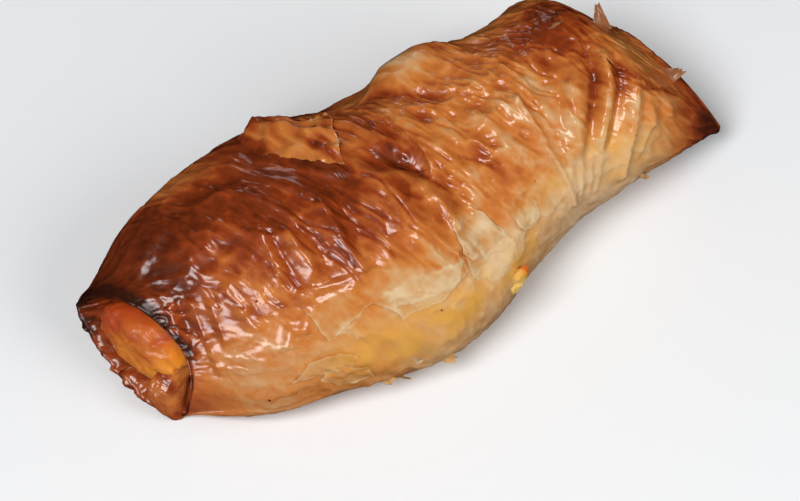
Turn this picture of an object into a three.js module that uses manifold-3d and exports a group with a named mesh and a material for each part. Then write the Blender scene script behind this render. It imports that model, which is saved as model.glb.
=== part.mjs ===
// A sausage borek: flaky pastry sheets rolled round one sausage and baked dark and glossy.
// Millimetres, +Z up. The roll lies along X. Its open end, where the sausage shows, is at -X.
// The origin is the middle of the footprint, on the surface that the roll rests on.

import * as THREE from 'three';
import { ParametricGeometry } from 'three/addons/geometries/ParametricGeometry.js';
import { mergeVertices } from 'three/addons/utils/BufferGeometryUtils.js';
import Module from 'manifold-3d';

// Where the middles of the two mouths are along X, and how each lip line slants: "slant" moves
// the far side, "lean" the upper lip and "dip" the lower lip, against the near side. "skew" moves
// the near half of both lips more than their far half.
const LEFT_MOUTH = { x: -80.5, slant: -5.5, lean: 6, skew: 0.5, dip: 4.2, u: 0, outward: -1 };
const RIGHT_MOUTH = { x: 87, slant: -7.5, lean: -4.5, skew: 0, dip: -2, u: 1, outward: 1 };

// The roll's cross-section at eleven even stations from the left mouth to the right one. A base
// below zero is pressed flat on the surface that the roll rests on.
const STATIONS = {
  halfWidth: [20.5, 31.9, 37, 40, 41, 38, 33.5, 29.5, 28.7, 28, 20],
  middleY: [7, 3.9, 2.5, 1, -0.5, 0, 3, 4.5, 5.7, 7.5, 3],
  topZ: [27, 41.5, 50, 54, 54, 52.5, 53.5, 55, 54, 52.8, 37],
  waistZ: [7.5, 15, 19.5, 21, 21.5, 22, 23.5, 25, 25.5, 23, 18.5],
  tiltZ: [4.5, 2, 0, 0, 0, 0, 0, 0, 0, 2, 5.5],
  baseZ: [1.5, -1.5, -2.5, -2.5, -2.5, -2.5, -2, -0.5, 2.5, 5, 7.5],
  shoulder: [1, 0.88, 0.87, 0.86, 0.86, 0.88, 0.88, 0.88, 0.9, 0.98, 1.25],
  farDroop: [0.55, 0.15, 0, 0, 0, 0, 0, 0, 0, 0, 0],
  belly: [1.15, 0.95, 0.85, 0.8, 0.8, 0.82, 0.85, 0.85, 0.88, 0.95, 1.15],
};

// Folds, steps and blisters of the top sheets, each a short path of (x, angle in degrees) on the
// skin, the fold's half width and its height. The angle is 0 on the far side, 90 on top and 180
// on the near side. A negative height is a valley.
const FOLDS = [
  { name: 'far notch', path: [[-2, 36], [5, 36]], width: 9, height: -4.5 },
  { name: 'far blister', path: [[13, 43], [24, 45]], width: 9, height: 5 },
  { name: 'crease under blister', path: [[4, 48], [12, 63], [20, 78]], width: 3, height: -1.5 },
  { name: 'flap pocket', path: [[-9, 83], [-1, 91], [5, 107], [10, 119]], width: 3.2, height: -3 },
  { name: 'flap edge', path: [[-2, 55], [4, 77], [6, 92]], width: 2.6, height: 1.4 },
  { name: 'cuff', path: [[-3, 102], [0, 114], [0, 126], [-2, 143]], width: 4, height: 1.8 },
  { name: 'neck', path: [[9, 126], [8, 150]], width: 6, height: -2 },
  { name: 'left drape', path: [[-43, 92], [-44, 112]], width: 2.4, height: 0.9 },
  { name: 'middle drape', path: [[-38, 97], [-36, 120]], width: 2.4, height: 1 },
  { name: 'right drape', path: [[-25, 102], [-26, 124]], width: 2.6, height: 1.3 },
  { name: 'drape valley', path: [[-31, 80], [-31, 118]], width: 3.4, height: -1.4 },
  { name: 'shadow valley', path: [[-52, 52], [-36, 64], [-26, 88], [-19, 108]], width: 3.5, height: -1.2 },
  { name: 'loose sheet', path: [[-25, 46], [-21, 62], [-13, 78]], width: 4, height: 1.5 },
  { name: 'slanting wrinkle', path: [[22, 85], [25, 100], [28, 124]], width: 2.4, height: 1 },
  { name: 'crown wrinkle', path: [[33, 99], [35, 120]], width: 2.4, height: 1 },
  { name: 'sharp ridge', path: [[37, 119], [37, 146], [40, 172]], width: 2.2, height: 1.1 },
  { name: 'dimple', path: [[45, 100]], width: 5, height: -1.6 },
  { name: 'right bulge', path: [[46, 122]], width: 8, height: 1.4 },
  { name: 'right valley', path: [[58, 100], [56.5, 127], [50, 152]], width: 3, height: -2.2 },
  { name: 'right ridge', path: [[61, 116], [60, 130], [52, 153]], width: 2.4, height: 1.2 },
  { name: 'second valley', path: [[67, 112], [62, 133], [57, 149]], width: 2.6, height: -1.6 },
  { name: 'second ridge', path: [[69, 131], [64, 145], [59, 168]], width: 2.6, height: 1.2 },
  { name: 'end crease', path: [[72, 118], [74, 130], [82, 134]], width: 2.4, height: -1.5 },
  { name: 'end bulge', path: [[71, 148], [78, 146]], width: 4, height: 1 },
];
const MM_PER_DEGREE = 0.6; // round the skin, at its mean radius
const RELIEF_FADE = 6; // the relief dies out over this height above the base

// Gentle waves of the wrapped sheets, which run slantwise over the roll.
const WAVES = [
  { length: 17, slant: 0.35, phase: 0.4, height: 0.4 },
  { length: 11.3, slant: 0.6, phase: 2.1, height: 0.3 },
  { length: 7.4, slant: 0.5, phase: 4, height: 0.2 },
];

// The pastry's rolled lips, and the hollow in each mouth that narrows to the sausage.
const LIP_THICKNESS = 1.6;
const LOWER_LIP_THICKNESS = 3;
const LIP_PROUD = 0.8;
const FUNNEL_DEPTH = 13;
const FUNNEL_RINGS = 5;

// The sausage, a little flattened by the wrapping, and the close bore round it. Its left end
// slants like the mouth: "slant" moves the far side along X and "lean" the upper side, for each
// millimetre off the sausage's axis, and both die out over "reach".
const SAUSAGE_HALF_WIDTH = 14.5;
const SAUSAGE_HALF_HEIGHT = 10;
const SAUSAGE_CAP = 5;
const SAUSAGE_BLUNTNESS = 0.5;
const SAUSAGE_END = { slant: -0.26, lean: 0.12, reach: 40 };
const SAUSAGE_LEFT = new THREE.Vector3(-82, 7, 14);
const SAUSAGE_RIGHT = new THREE.Vector3(82, 3.5, 22.2);
const CLEARANCE = 0.35;
const MOUTH_CLEARANCE = 0.25;

// The thick fold curled into the near corner of the left mouth.
const CURL = { centre: [-78.2, -7.2, 8.6], radii: [4.9, 3.4, 8.6], tip: -0.5, turn: 0.05 };

// Loose flakes of the top sheets: root (x, angle), length, width and the way they stand off.
const FLAKE_THICKNESS = 0.9;
const FLAKE_ROOT = 3;
const FLAKES = [
  { x: 71.5, angle: 80, length: 7, width: 5, lean: 0.5, turn: 1.2 },
  { x: 82, angle: 119, length: 6, width: 6, lean: 0.9, turn: 0 },
  { x: 57.5, angle: 77, length: 4, width: 3, lean: 1.3, turn: -0.3 },
  { x: -23, angle: 197, length: 3, width: 7, lean: 0.8, turn: 0.3 },
  { x: -9.5, angle: 194, length: 3, width: 6, lean: 0.8, turn: -0.2 },
  { x: 65, angle: 194, length: 3, width: 6, lean: 0.8, turn: 0.2 },
];

// Melted cheese that has run out low on the near side.
const CHEESE = { x: 15.5, angle: 176, radii: [2.6, 1.7, 6], turn: 0.45, stand: 0.2 };

// Mesh density: rings along the outer skin, and points round each ring.
const RINGS_ALONG = 100;
const POINTS_ROUND = 44;

const wasm = await Module();
wasm.setup();

const stationCurves = Object.fromEntries(
  Object.entries(STATIONS).map(([key, values]) => [
    key,
    new THREE.SplineCurve(values.map((value, i) => new THREE.Vector2(i, value))),
  ]),
);

function stationAt(u) {
  const section = {};
  for (const [key, curve] of Object.entries(stationCurves)) section[key] = curve.getPoint(u).y;
  return section;
}

function mouthX(mouth, angle) {
  const across = Math.cos(angle);
  const rise = Math.sin(angle);
  const lean = (rise > 0 ? mouth.lean : mouth.dip) * (1 - mouth.skew * across);
  return mouth.x + mouth.slant * across + lean * rise;
}

// The smooth roll before its folds: u runs from mouth to mouth, the angle goes round.
function smoothSkin(u, angle) {
  const section = stationAt(u);
  const across = Math.cos(angle);
  const rise = Math.sin(angle);
  const waist = section.waistZ + section.tiltZ * across;
  const shoulder = section.shoulder + section.farDroop * across;
  const upper = (section.topZ - section.waistZ) * Math.abs(rise) ** shoulder;
  const lower = (section.waistZ - section.baseZ) * Math.abs(rise) ** section.belly;
  return new THREE.Vector3(
    THREE.MathUtils.lerp(mouthX(LEFT_MOUTH, angle), mouthX(RIGHT_MOUTH, angle), u),
    section.middleY + section.halfWidth * across,
    Math.max(rise >= 0 ? waist + upper : waist - lower, 0),
  );
}

// How far a point of the unrolled skin is from a fold's path.
function distanceToPath(point, path) {
  const corners = path.map(([x, degrees]) => new THREE.Vector2(x, degrees * MM_PER_DEGREE));
  let nearest = point.distanceTo(corners[0]);
  for (let i = 1; i < corners.length; i += 1) {
    const along = corners[i].clone().sub(corners[i - 1]);
    const t = point.clone().sub(corners[i - 1]).dot(along) / along.lengthSq();
    const foot = corners[i - 1].clone().addScaledVector(along, THREE.MathUtils.clamp(t, 0, 1));
    nearest = Math.min(nearest, point.distanceTo(foot));
  }
  return nearest;
}

function foldRelief(x, angle) {
  const point = new THREE.Vector2(x, THREE.MathUtils.radToDeg(angle) * MM_PER_DEGREE);
  let height = 0;
  for (const wave of WAVES) {
    const turns = (point.x - wave.slant * point.y) / wave.length;
    height += wave.height * Math.sin(2 * Math.PI * turns + wave.phase);
  }
  for (const fold of FOLDS) {
    height += fold.height * Math.exp(-((distanceToPath(point, fold.path) / fold.width) ** 2));
  }
  return height;
}

// The way out of the roll at a point of the skin, square to the roll's length.
function outwardAt(u, point) {
  const section = stationAt(u);
  const middleZ = (section.topZ + section.baseZ) / 2;
  return new THREE.Vector3(0, point.y - section.middleY, point.z - middleZ).normalize();
}

function skin(u, angle) {
  const point = smoothSkin(u, angle);
  const fade = THREE.MathUtils.smoothstep(point.z, 0, RELIEF_FADE);
  const height = fade * foldRelief(point.x, angle);
  return point.addScaledVector(outwardAt(u, point), height);
}

function mouthMiddle(mouth) {
  const section = stationAt(mouth.u);
  return new THREE.Vector3(mouth.x, section.middleY, (section.topZ + section.baseZ) / 2);
}

// A point on the lip, which is thickest below: a share of its thickness in towards the mouth's
// middle, and proud of the roll's end.
function lipPoint(mouth, angle, share, proud) {
  const point = skin(mouth.u, angle);
  const inward = mouthMiddle(mouth).sub(point).setX(0).normalize();
  const below = Math.sqrt(Math.max(-Math.sin(angle), 0));
  const thickness = THREE.MathUtils.lerp(LIP_THICKNESS, LOWER_LIP_THICKNESS, below);
  point.addScaledVector(inward, share * thickness);
  point.x += mouth.outward * proud;
  return point;
}

function sausageAxisAt(x) {
  const t = (x - SAUSAGE_LEFT.x) / (SAUSAGE_RIGHT.x - SAUSAGE_LEFT.x);
  return SAUSAGE_LEFT.clone().lerp(SAUSAGE_RIGHT, t);
}

// A point on the bore, the close hole that the sausage fills.
function borePoint(mouth, angle) {
  const point = sausageAxisAt(mouth.x - mouth.outward * FUNNEL_DEPTH);
  point.y += (SAUSAGE_HALF_WIDTH + CLEARANCE) * Math.cos(angle);
  point.z += (SAUSAGE_HALF_HEIGHT + CLEARANCE) * Math.sin(angle);
  return point;
}

// The rings of one mouth, from just inside the lip's outer edge to the bore.
function mouthRings(mouth) {
  const rings = [(angle) => lipPoint(mouth, angle, 0.5, LIP_PROUD)];
  for (let i = 0; i <= FUNNEL_RINGS; i += 1) {
    const inward = i / FUNNEL_RINGS;
    const narrowing = Math.sin((inward * Math.PI) / 2);
    rings.push((angle) => {
      const lip = lipPoint(mouth, angle, 1, 0);
      const bore = borePoint(mouth, angle);
      const point = lip.clone().lerp(bore, narrowing);
      point.x = THREE.MathUtils.lerp(lip.x, bore.x, inward);
      return point;
    });
  }
  return rings;
}

// The pastry's whole surface as one chain of rings: out along the skin, in at the right
// mouth, back through the bore and out at the left mouth to where it began.
function pastryShell() {
  const rings = [];
  for (let i = 0; i <= RINGS_ALONG; i += 1) rings.push((angle) => skin(i / RINGS_ALONG, angle));
  rings.push(...mouthRings(RIGHT_MOUTH));
  rings.push(...mouthRings(LEFT_MOUTH).reverse());
  rings.push(rings[0]);
  const steps = rings.length - 1;
  const place = (around, along, target) => {
    const wrapped = around === 1 ? 0 : around;
    target.copy(rings[Math.round(along * steps)](wrapped * 2 * Math.PI));
  };
  return new ParametricGeometry(place, POINTS_ROUND, steps);
}

function curlGeometry() {
  const curl = new THREE.SphereGeometry(1, 14, 10);
  curl.scale(...CURL.radii);
  curl.rotateX(CURL.tip);
  curl.rotateY(CURL.turn);
  curl.translate(...CURL.centre);
  return curl;
}

// A torn, pointed flake that grows out of the skin and leans towards the right mouth.
function flakeGeometry(flake) {
  const half = flake.width / 2;
  const outline = new THREE.Shape();
  outline.moveTo(-half, -FLAKE_ROOT);
  outline.lineTo(half, -FLAKE_ROOT);
  outline.lineTo(half * 0.85, flake.length * 0.3);
  outline.lineTo(half * 0.1, flake.length);
  outline.lineTo(-half * 0.4, flake.length * 0.65);
  outline.lineTo(-half * 0.9, flake.length * 0.45);
  const plate = new THREE.ExtrudeGeometry(outline, { depth: FLAKE_THICKNESS, bevelEnabled: false });
  const angle = THREE.MathUtils.degToRad(flake.angle);
  const u = (flake.x - LEFT_MOUTH.x) / (RIGHT_MOUTH.x - LEFT_MOUTH.x);
  const root = skin(u, angle);
  const out = outwardAt(u, root);
  const along = new THREE.Vector3(1, 0, 0).applyAxisAngle(out, flake.turn);
  const stand = out.clone().multiplyScalar(Math.cos(flake.lean)).addScaledVector(along, Math.sin(flake.lean));
  const across = new THREE.Vector3().crossVectors(stand, along).normalize();
  const normal = new THREE.Vector3().crossVectors(across, stand);
  const matrix = new THREE.Matrix4().makeBasis(across, stand, normal).setPosition(root);
  return plate.applyMatrix4(matrix);
}

function toSolid(geometry) {
  const bare = geometry.clone();
  bare.deleteAttribute('normal');
  bare.deleteAttribute('uv');
  const merged = mergeVertices(bare, 1e-3);
  return new wasm.Manifold(new wasm.Mesh({
    numProp: 3,
    vertProperties: merged.attributes.position.array,
    triVerts: merged.index.array,
  }));
}

function toGeometry(solid) {
  const mesh = solid.getMesh();
  const geometry = new THREE.BufferGeometry();
  geometry.setAttribute('position', new THREE.BufferAttribute(mesh.vertProperties, 3));
  geometry.setIndex(new THREE.BufferAttribute(mesh.triVerts, 1));
  geometry.computeVertexNormals();
  return geometry;
}

function pastryGeometry() {
  let solid = toSolid(pastryShell()).add(toSolid(curlGeometry()));
  solid = solid.subtract(toSolid(sausageGeometry(MOUTH_CLEARANCE)));
  for (const flake of FLAKES) solid = solid.add(toSolid(flakeGeometry(flake)));
  return toGeometry(solid);
}

// A straight sausage with blunt ends, turned round its own axis, laid along the bore and
// slanted at its left end. A grown one cuts the lips and the curl clear of it.
function sausageGeometry(grow) {
  const halfHeight = SAUSAGE_HALF_HEIGHT + grow;
  const length = SAUSAGE_LEFT.distanceTo(SAUSAGE_RIGHT) + 2 * grow;
  const capSteps = 7;
  const bodySteps = 6;
  const profile = [];
  for (let i = 0; i <= capSteps; i += 1) {
    const sweep = (i / capSteps) * (Math.PI / 2);
    const radius = i === 0 ? 0 : halfHeight * Math.sin(sweep) ** SAUSAGE_BLUNTNESS;
    profile.push(new THREE.Vector2(radius, SAUSAGE_CAP * (1 - Math.cos(sweep))));
  }
  const far = profile.map((point) => new THREE.Vector2(point.x, length - point.y)).reverse();
  for (let i = 1; i < bodySteps; i += 1) {
    const y = THREE.MathUtils.lerp(SAUSAGE_CAP, length - SAUSAGE_CAP, i / bodySteps);
    profile.push(new THREE.Vector2(halfHeight, y));
  }
  const geometry = new THREE.LatheGeometry([...profile, ...far], 28);
  geometry.translate(0, -grow, 0);
  geometry.scale((SAUSAGE_HALF_WIDTH + grow) / halfHeight, 1, 1);
  const along = SAUSAGE_RIGHT.clone().sub(SAUSAGE_LEFT).normalize();
  geometry.applyQuaternion(new THREE.Quaternion().setFromUnitVectors(new THREE.Vector3(0, 1, 0), along));
  geometry.translate(...SAUSAGE_LEFT.toArray());
  const place = geometry.attributes.position;
  for (let i = 0; i < place.count; i += 1) {
    const point = new THREE.Vector3().fromBufferAttribute(place, i);
    const offAxis = point.clone().sub(sausageAxisAt(point.x));
    const fromEnd = (point.x - SAUSAGE_LEFT.x) / SAUSAGE_END.reach;
    const share = 1 - THREE.MathUtils.clamp(fromEnd, 0, 1);
    const shift = share * (SAUSAGE_END.slant * offAxis.y + SAUSAGE_END.lean * offAxis.z);
    place.setX(i, point.x + shift);
  }
  return geometry;
}

// A drop of cheese that clings to the skin, cut clear of it.
function cheeseGeometry(pastry) {
  const drop = new THREE.SphereGeometry(1, 16, 12);
  drop.scale(...CHEESE.radii);
  drop.rotateY(CHEESE.turn);
  const angle = THREE.MathUtils.degToRad(CHEESE.angle);
  const u = (CHEESE.x - LEFT_MOUTH.x) / (RIGHT_MOUTH.x - LEFT_MOUTH.x);
  const seat = skin(u, angle);
  seat.addScaledVector(outwardAt(u, seat), CHEESE.stand);
  drop.translate(...seat.toArray());
  const clear = pastry.clone().translate(0, -CLEARANCE, 0);
  return toGeometry(toSolid(drop).subtract(toSolid(clear)));
}

const CRUST = new THREE.MeshStandardMaterial({ color: 0xb0652a, roughness: 0.35, metalness: 0 });
const MEAT = new THREE.MeshStandardMaterial({ color: 0xd8672a, roughness: 0.4, metalness: 0 });
const MELT = new THREE.MeshStandardMaterial({ color: 0xe6b24a, roughness: 0.4, metalness: 0 });

function namedMesh(name, geometry, material) {
  const mesh = new THREE.Mesh(geometry, material);
  mesh.name = name;
  return mesh;
}

const pastry = pastryGeometry();
const borek = new THREE.Group();
borek.add(namedMesh('pastry', pastry, CRUST));
borek.add(namedMesh('sausage', sausageGeometry(0), MEAT));
borek.add(namedMesh('cheese_drop', cheeseGeometry(pastry), MELT));

const box = new THREE.Box3().setFromObject(borek);
borek.position.set(-(box.min.x + box.max.x) / 2, -(box.min.y + box.max.y) / 2, -box.min.z);

export default borek;
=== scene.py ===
# %% [markdown]
# A sausage borek, dressed for its portrait.
#
# Thin pastry sheets were rolled round a sausage, brushed with egg and baked. What the eye sees is the
# sheets: folds and blisters that catch the light, torn translucent flakes low on the near side, and
# browning that runs from cream to nearly black. The solids from the workshop are loaded first as a fixed
# frame, and every piece made below sits on them.

# %% The frame
import bmesh
import bpy
import numpy as np
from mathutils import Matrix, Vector


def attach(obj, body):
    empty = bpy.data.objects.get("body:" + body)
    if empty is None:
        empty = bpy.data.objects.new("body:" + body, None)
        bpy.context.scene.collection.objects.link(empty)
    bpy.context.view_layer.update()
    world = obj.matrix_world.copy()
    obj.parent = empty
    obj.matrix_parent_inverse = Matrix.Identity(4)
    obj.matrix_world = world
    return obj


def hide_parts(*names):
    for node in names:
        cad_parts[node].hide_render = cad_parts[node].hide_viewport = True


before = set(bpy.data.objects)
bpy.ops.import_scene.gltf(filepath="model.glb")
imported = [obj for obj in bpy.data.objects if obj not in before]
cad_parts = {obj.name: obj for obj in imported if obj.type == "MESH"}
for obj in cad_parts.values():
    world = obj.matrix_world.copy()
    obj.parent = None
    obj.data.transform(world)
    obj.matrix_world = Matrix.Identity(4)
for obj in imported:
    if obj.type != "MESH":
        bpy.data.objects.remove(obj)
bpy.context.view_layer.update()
MM = 0.001

# %% [markdown]
# The roll's form. The sheets lie on a smooth roll, pinched at both mouths, and it could be sculpted by
# hand. A rule is easier to reuse: eleven cross-sections, the same ones as in the solid, with a smooth
# curve through each of their sizes. An angle goes round the roll, 0 on the far side, 90 on top and 180 on
# the near side. All sizes here are millimetres in the roll's own frame, which was moved a little to stand
# the part on its middle.

# %% The smooth roll
LEFT_MOUTH = {"x": -80.5, "slant": -5.5, "lean": 6.0, "skew": 0.5, "dip": 4.2, "u": 0.0, "outward": -1.0}
RIGHT_MOUTH = {"x": 87.0, "slant": -7.5, "lean": -4.5, "skew": 0.0, "dip": -2.0, "u": 1.0, "outward": 1.0}
STATIONS = {
    "half_width": [20.5, 31.9, 37, 40, 41, 38, 33.5, 29.5, 28.7, 28, 20],
    "middle_y": [7, 3.9, 2.5, 1, -0.5, 0, 3, 4.5, 5.7, 7.5, 3],
    "top_z": [27, 41.5, 50, 54, 54, 52.5, 53.5, 55, 54, 52.8, 37],
    "waist_z": [7.5, 15, 19.5, 21, 21.5, 22, 23.5, 25, 25.5, 23, 18.5],
    "tilt_z": [4.5, 2, 0, 0, 0, 0, 0, 0, 0, 2, 5.5],
    "base_z": [1.5, -1.5, -2.5, -2.5, -2.5, -2.5, -2, -0.5, 2.5, 5, 7.5],
    "shoulder": [1, 0.88, 0.87, 0.86, 0.86, 0.88, 0.88, 0.88, 0.9, 0.98, 1.25],
    "far_droop": [0.55, 0.15, 0, 0, 0, 0, 0, 0, 0, 0, 0],
    "belly": [1.15, 0.95, 0.85, 0.8, 0.8, 0.82, 0.85, 0.85, 0.88, 0.95, 1.15],
}
CENTRING = np.array([-4.15, 0.17, 0.0])


def along_roll(sizes, u):
    """A smooth curve through evenly spaced sizes, read at u from 0 to 1."""
    sizes = np.asarray(sizes, float)
    last = len(sizes) - 1
    place = np.clip(u, 0, 1) * last
    i = np.minimum(np.floor(place).astype(int), last - 1)
    t = place - i
    before, here = sizes[np.maximum(i - 1, 0)], sizes[i]
    after, beyond = sizes[i + 1], sizes[np.minimum(i + 2, last)]
    rise, fall = (after - before) / 2, (beyond - here) / 2
    cubic = (2 * here - 2 * after + rise + fall) * t + (-3 * here + 3 * after - 2 * rise - fall)
    return (cubic * t + rise) * t + here


def mouth_x(mouth, angle):
    """Where a mouth's lip is along the roll, at an angle round it."""
    across, height = np.cos(angle), np.sin(angle)
    lean = np.where(height > 0, mouth["lean"], mouth["dip"]) * (1 - mouth["skew"] * across)
    return mouth["x"] + mouth["slant"] * across + lean * height


def u_at(x, angle):
    left, right = mouth_x(LEFT_MOUTH, angle), mouth_x(RIGHT_MOUTH, angle)
    return (x - left) / (right - left)


def smooth_roll(u, angle):
    """Points of the smooth roll, and the way out of it at each of them."""
    size = {name: along_roll(sizes, u) for name, sizes in STATIONS.items()}
    across, height = np.cos(angle), np.sin(angle)
    waist = size["waist_z"] + size["tilt_z"] * across
    shoulder = size["shoulder"] + size["far_droop"] * across
    upper = waist + (size["top_z"] - size["waist_z"]) * np.abs(height) ** shoulder
    lower = waist - (size["waist_z"] - size["base_z"]) * np.abs(height) ** size["belly"]
    left, right = mouth_x(LEFT_MOUTH, angle), mouth_x(RIGHT_MOUTH, angle)
    points = np.stack([
        left + (right - left) * u,
        size["middle_y"] + size["half_width"] * across,
        np.maximum(np.where(height >= 0, upper, lower), 0),
    ], -1)
    middle = np.stack([points[..., 0], size["middle_y"], (size["top_z"] + size["base_z"]) / 2], -1)
    out = points - middle
    return points, out / np.linalg.norm(out, axis=-1, keepdims=True)


print("roll frame moved by", CENTRING.round(2), "mm")

# %% [markdown]
# The folds. Sheets this thin buckle as they bake, so the skin is a landscape of ridges, valleys, steps and
# blisters. The large ones are given as short paths on the unrolled skin. The small ones could be sculpted
# too, but a seeded rule that draws crumpled ridges, longer round the roll than along it, gives the same
# unevenness everywhere.

# %% Folds given one by one
MM_PER_DEGREE = 0.6
FOLDS = [
    # path of (x, angle in degrees), half width, height
    ([(1.5, 111), (2.6, 118), (3.4, 126)], 1.6, 1.5),
    ([(-2, 36), (5, 36)], 9, -4.5),
    ([(13, 43), (24, 45)], 9, 5),
    ([(4, 48), (12, 63), (20, 78), (28, 93)], 2.6, -1.6),
    ([(-6, 86), (0, 93), (5, 105), (9, 117)], 2.6, -2.2),
    ([(-8, 62), (-2, 76)], 6, 1.6),
    ([(-9, 100), (-5, 124)], 7, 1.6),
    ([(9, 126), (8, 150)], 6, -2),
    ([(-43, 92), (-44, 112)], 1.8, 1.1),
    ([(-38, 99), (-36, 118)], 1.7, 1.2),
    ([(-26, 96), (-26, 108), (-26, 116), (-25, 126)], 1.5, 1.7),
    ([(-31, 84), (-32, 118)], 3, -1.5),
    ([(-41, 100), (-41, 122)], 2.2, -1.0),
    ([(-33, 58), (-24, 74), (-19, 90), (-20, 104), (-22, 114)], 4.5, -2.4),
    ([(-52, 52), (-40, 62), (-32, 78)], 3, -1.0),
    ([(-25, 46), (-21, 60), (-15, 76)], 4, 1.3),
    ([(22, 85), (25, 100), (28, 124)], 2.2, 1.1),
    ([(33, 99), (35, 120)], 2.0, 1.1),
    ([(40, 97), (42, 112)], 1.8, 0.9),
    ([(36, 102), (37, 121), (37, 132), (39, 153), (40, 170)], 1.1, 1.3),
    ([(45, 100)], 5, -1.8),
    ([(50, 106), (45, 119), (41, 134)], 2, -1.0),
    ([(52, 111), (49, 126), (46, 140)], 4.5, 2.5),
    ([(60.5, 100), (60, 112), (56.5, 122), (52, 133), (48, 146)], 2.2, -2.3),
    ([(64, 108), (62.3, 119), (58.2, 130), (53.2, 143)], 1.8, 1.6),
    ([(67, 112), (65, 125), (60, 138), (54.5, 152)], 1.8, -2.0),
    ([(69, 130), (65, 144), (60, 158), (57, 176)], 1.7, 1.9),
    ([(71, 143), (70, 152)], 1.7, 1.5),
    ([(78, 140), (77, 150)], 1.7, 1.3),
    ([(-61, 73)], 3.2, 0.9),
    ([(-57, 106), (-56, 117)], 1.6, 0.9),
    ([(-56, 120), (-55, 129)], 1.5, 0.9),
    ([(-50, 144), (-48, 138), (-45, 141)], 1.6, 1.5),
    ([(-70, 97), (-71, 115), (-70, 132)], 1.3, 0.9),
    ([(-67.5, 96), (-68, 116)], 1.0, -0.6),
    ([(19, 54)], 5, 1.3),
    ([(43, 122), (42, 142), (41, 165)], 0.9, 0.4),
    ([(47, 128), (45, 150), (43, 168)], 0.9, 0.45),
    ([(50, 136), (48, 155), (46, 172)], 0.7, 0.35),
    ([(55, 140), (51, 158), (48, 174)], 1.0, 0.4),
    ([(63, 139), (58, 157), (54, 175)], 0.9, 0.35),
    ([(74, 142), (68, 156), (63, 170)], 0.9, 0.5),
    ([(-66, 88), (-52, 78), (-44, 84)], 2.6, 0.5),
]
EDGES = [
    # path of a sheet's edge, with the sheet on its left, then the step's height and reach
    ([(-26, 95), (-30, 83), (-33, 75), (-36, 68), (-40, 58)], 0.9, 6),
    ([(-34, 99), (-36, 90), (-38, 82), (-41, 75), (-44, 69)], 0.7, 5),
    ([(5, 101), (6, 94), (5, 84), (3, 74), (0, 62), (-3, 50)], 1.4, 5),
    ([(-5, 140), (-1, 136), (1, 131), (2, 123), (2, 115), (0, 106)], 0.8, 7),
    ([(3, 104), (7, 114), (10, 120), (12, 129), (14, 139)], 0.8, 5),
    ([(81, 136), (78, 131), (73, 134), (71, 130), (70, 124), (67, 118)], 1.3, 5),
    ([(-45, 127), (-41, 123), (-37, 126), (-30, 127), (-25, 127)], 0.5, 5),
    ([(-66.3, 121), (-66.0, 112), (-65.8, 102)], 1.5, 2.4),
    ([(-62.8, 129), (-62.5, 119), (-62.3, 110)], 1.5, 2.4),
    ([(-66.6, 150), (-66.4, 141), (-66.2, 132)], 1.7, 2.6),
]


def distance_to_path(x, arc, path):
    """How far points of the unrolled skin are from a path, in millimetres."""
    corners = [np.array([px, degrees * MM_PER_DEGREE]) for px, degrees in path]
    nearest = np.hypot(x - corners[0][0], arc - corners[0][1])
    for start, end in zip(corners, corners[1:]):
        step = end - start
        t = np.clip(((x - start[0]) * step[0] + (arc - start[1]) * step[1]) / (step @ step), 0, 1)
        nearest = np.minimum(nearest, np.hypot(x - start[0] - t * step[0], arc - start[1] - t * step[1]))
    return nearest


def step_at_edge(x, arc, path, reach):
    """1 just on the sheet's side of its edge, dying out over its reach; 0 on the other side."""
    corners = [np.array([px, degrees * MM_PER_DEGREE]) for px, degrees in path]
    nearest = np.full(np.shape(x), 1e9)
    side = np.zeros(np.shape(x))
    for start, end in zip(corners, corners[1:]):
        step = end - start
        away = np.stack([x - start[0], arc - start[1]])
        t = np.clip((away[0] * step[0] + away[1] * step[1]) / (step @ step), 0, 1)
        gap = np.hypot(away[0] - t * step[0], away[1] - t * step[1])
        across = (step[0] * away[1] - step[1] * away[0]) / np.hypot(*step)
        closer = gap < nearest
        nearest = np.where(closer, gap, nearest)
        side = np.where(closer, across, side)
    beyond_end = np.sqrt(np.maximum(nearest ** 2 - side ** 2, 0))
    rise = np.clip(side / 0.7 + 0.5, 0, 1)
    return rise * rise * (3 - 2 * rise) * np.exp(-np.maximum(side, 0) / reach - (beyond_end / 2.5) ** 2)


def hand_folds(x, arc):
    height = np.zeros_like(x)
    for path, width, rise in FOLDS:
        height += rise * np.exp(-(distance_to_path(x, arc, path) / width) ** 2)
    for path, rise, reach in EDGES:
        height += rise * step_at_edge(x, arc, path, reach)
    return height


print(len(FOLDS), "folds and", len(EDGES), "sheet edges set by hand")

# %% [markdown]
# Crumpled ridges. Between the large folds the top sheets shrank in the oven into small ridges with narrow
# crests. Nobody could draw them one by one, so they come from a rule: fields of random lumps, seeded so
# that they come out the same each time, are bent into ridges that run round the roll on a slant, as the
# sheets were rolled. Three sizes of ridge are laid over each other.

# %% Crumpled ridges by a seeded rule
LATTICE = 64
SLANT = 0.45
RIDGES = [
    # height, its middle level, length round the roll, width along it, seed, how much paler its crests are
    (1.7, 0.45, 11, 7.5, 11, 0.10),
    (0.95, 0.4, 6, 3.6, 23, 0.16),
    (0.45, 0.4, 3.4, 1.9, 37, 0.12),
]


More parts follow.
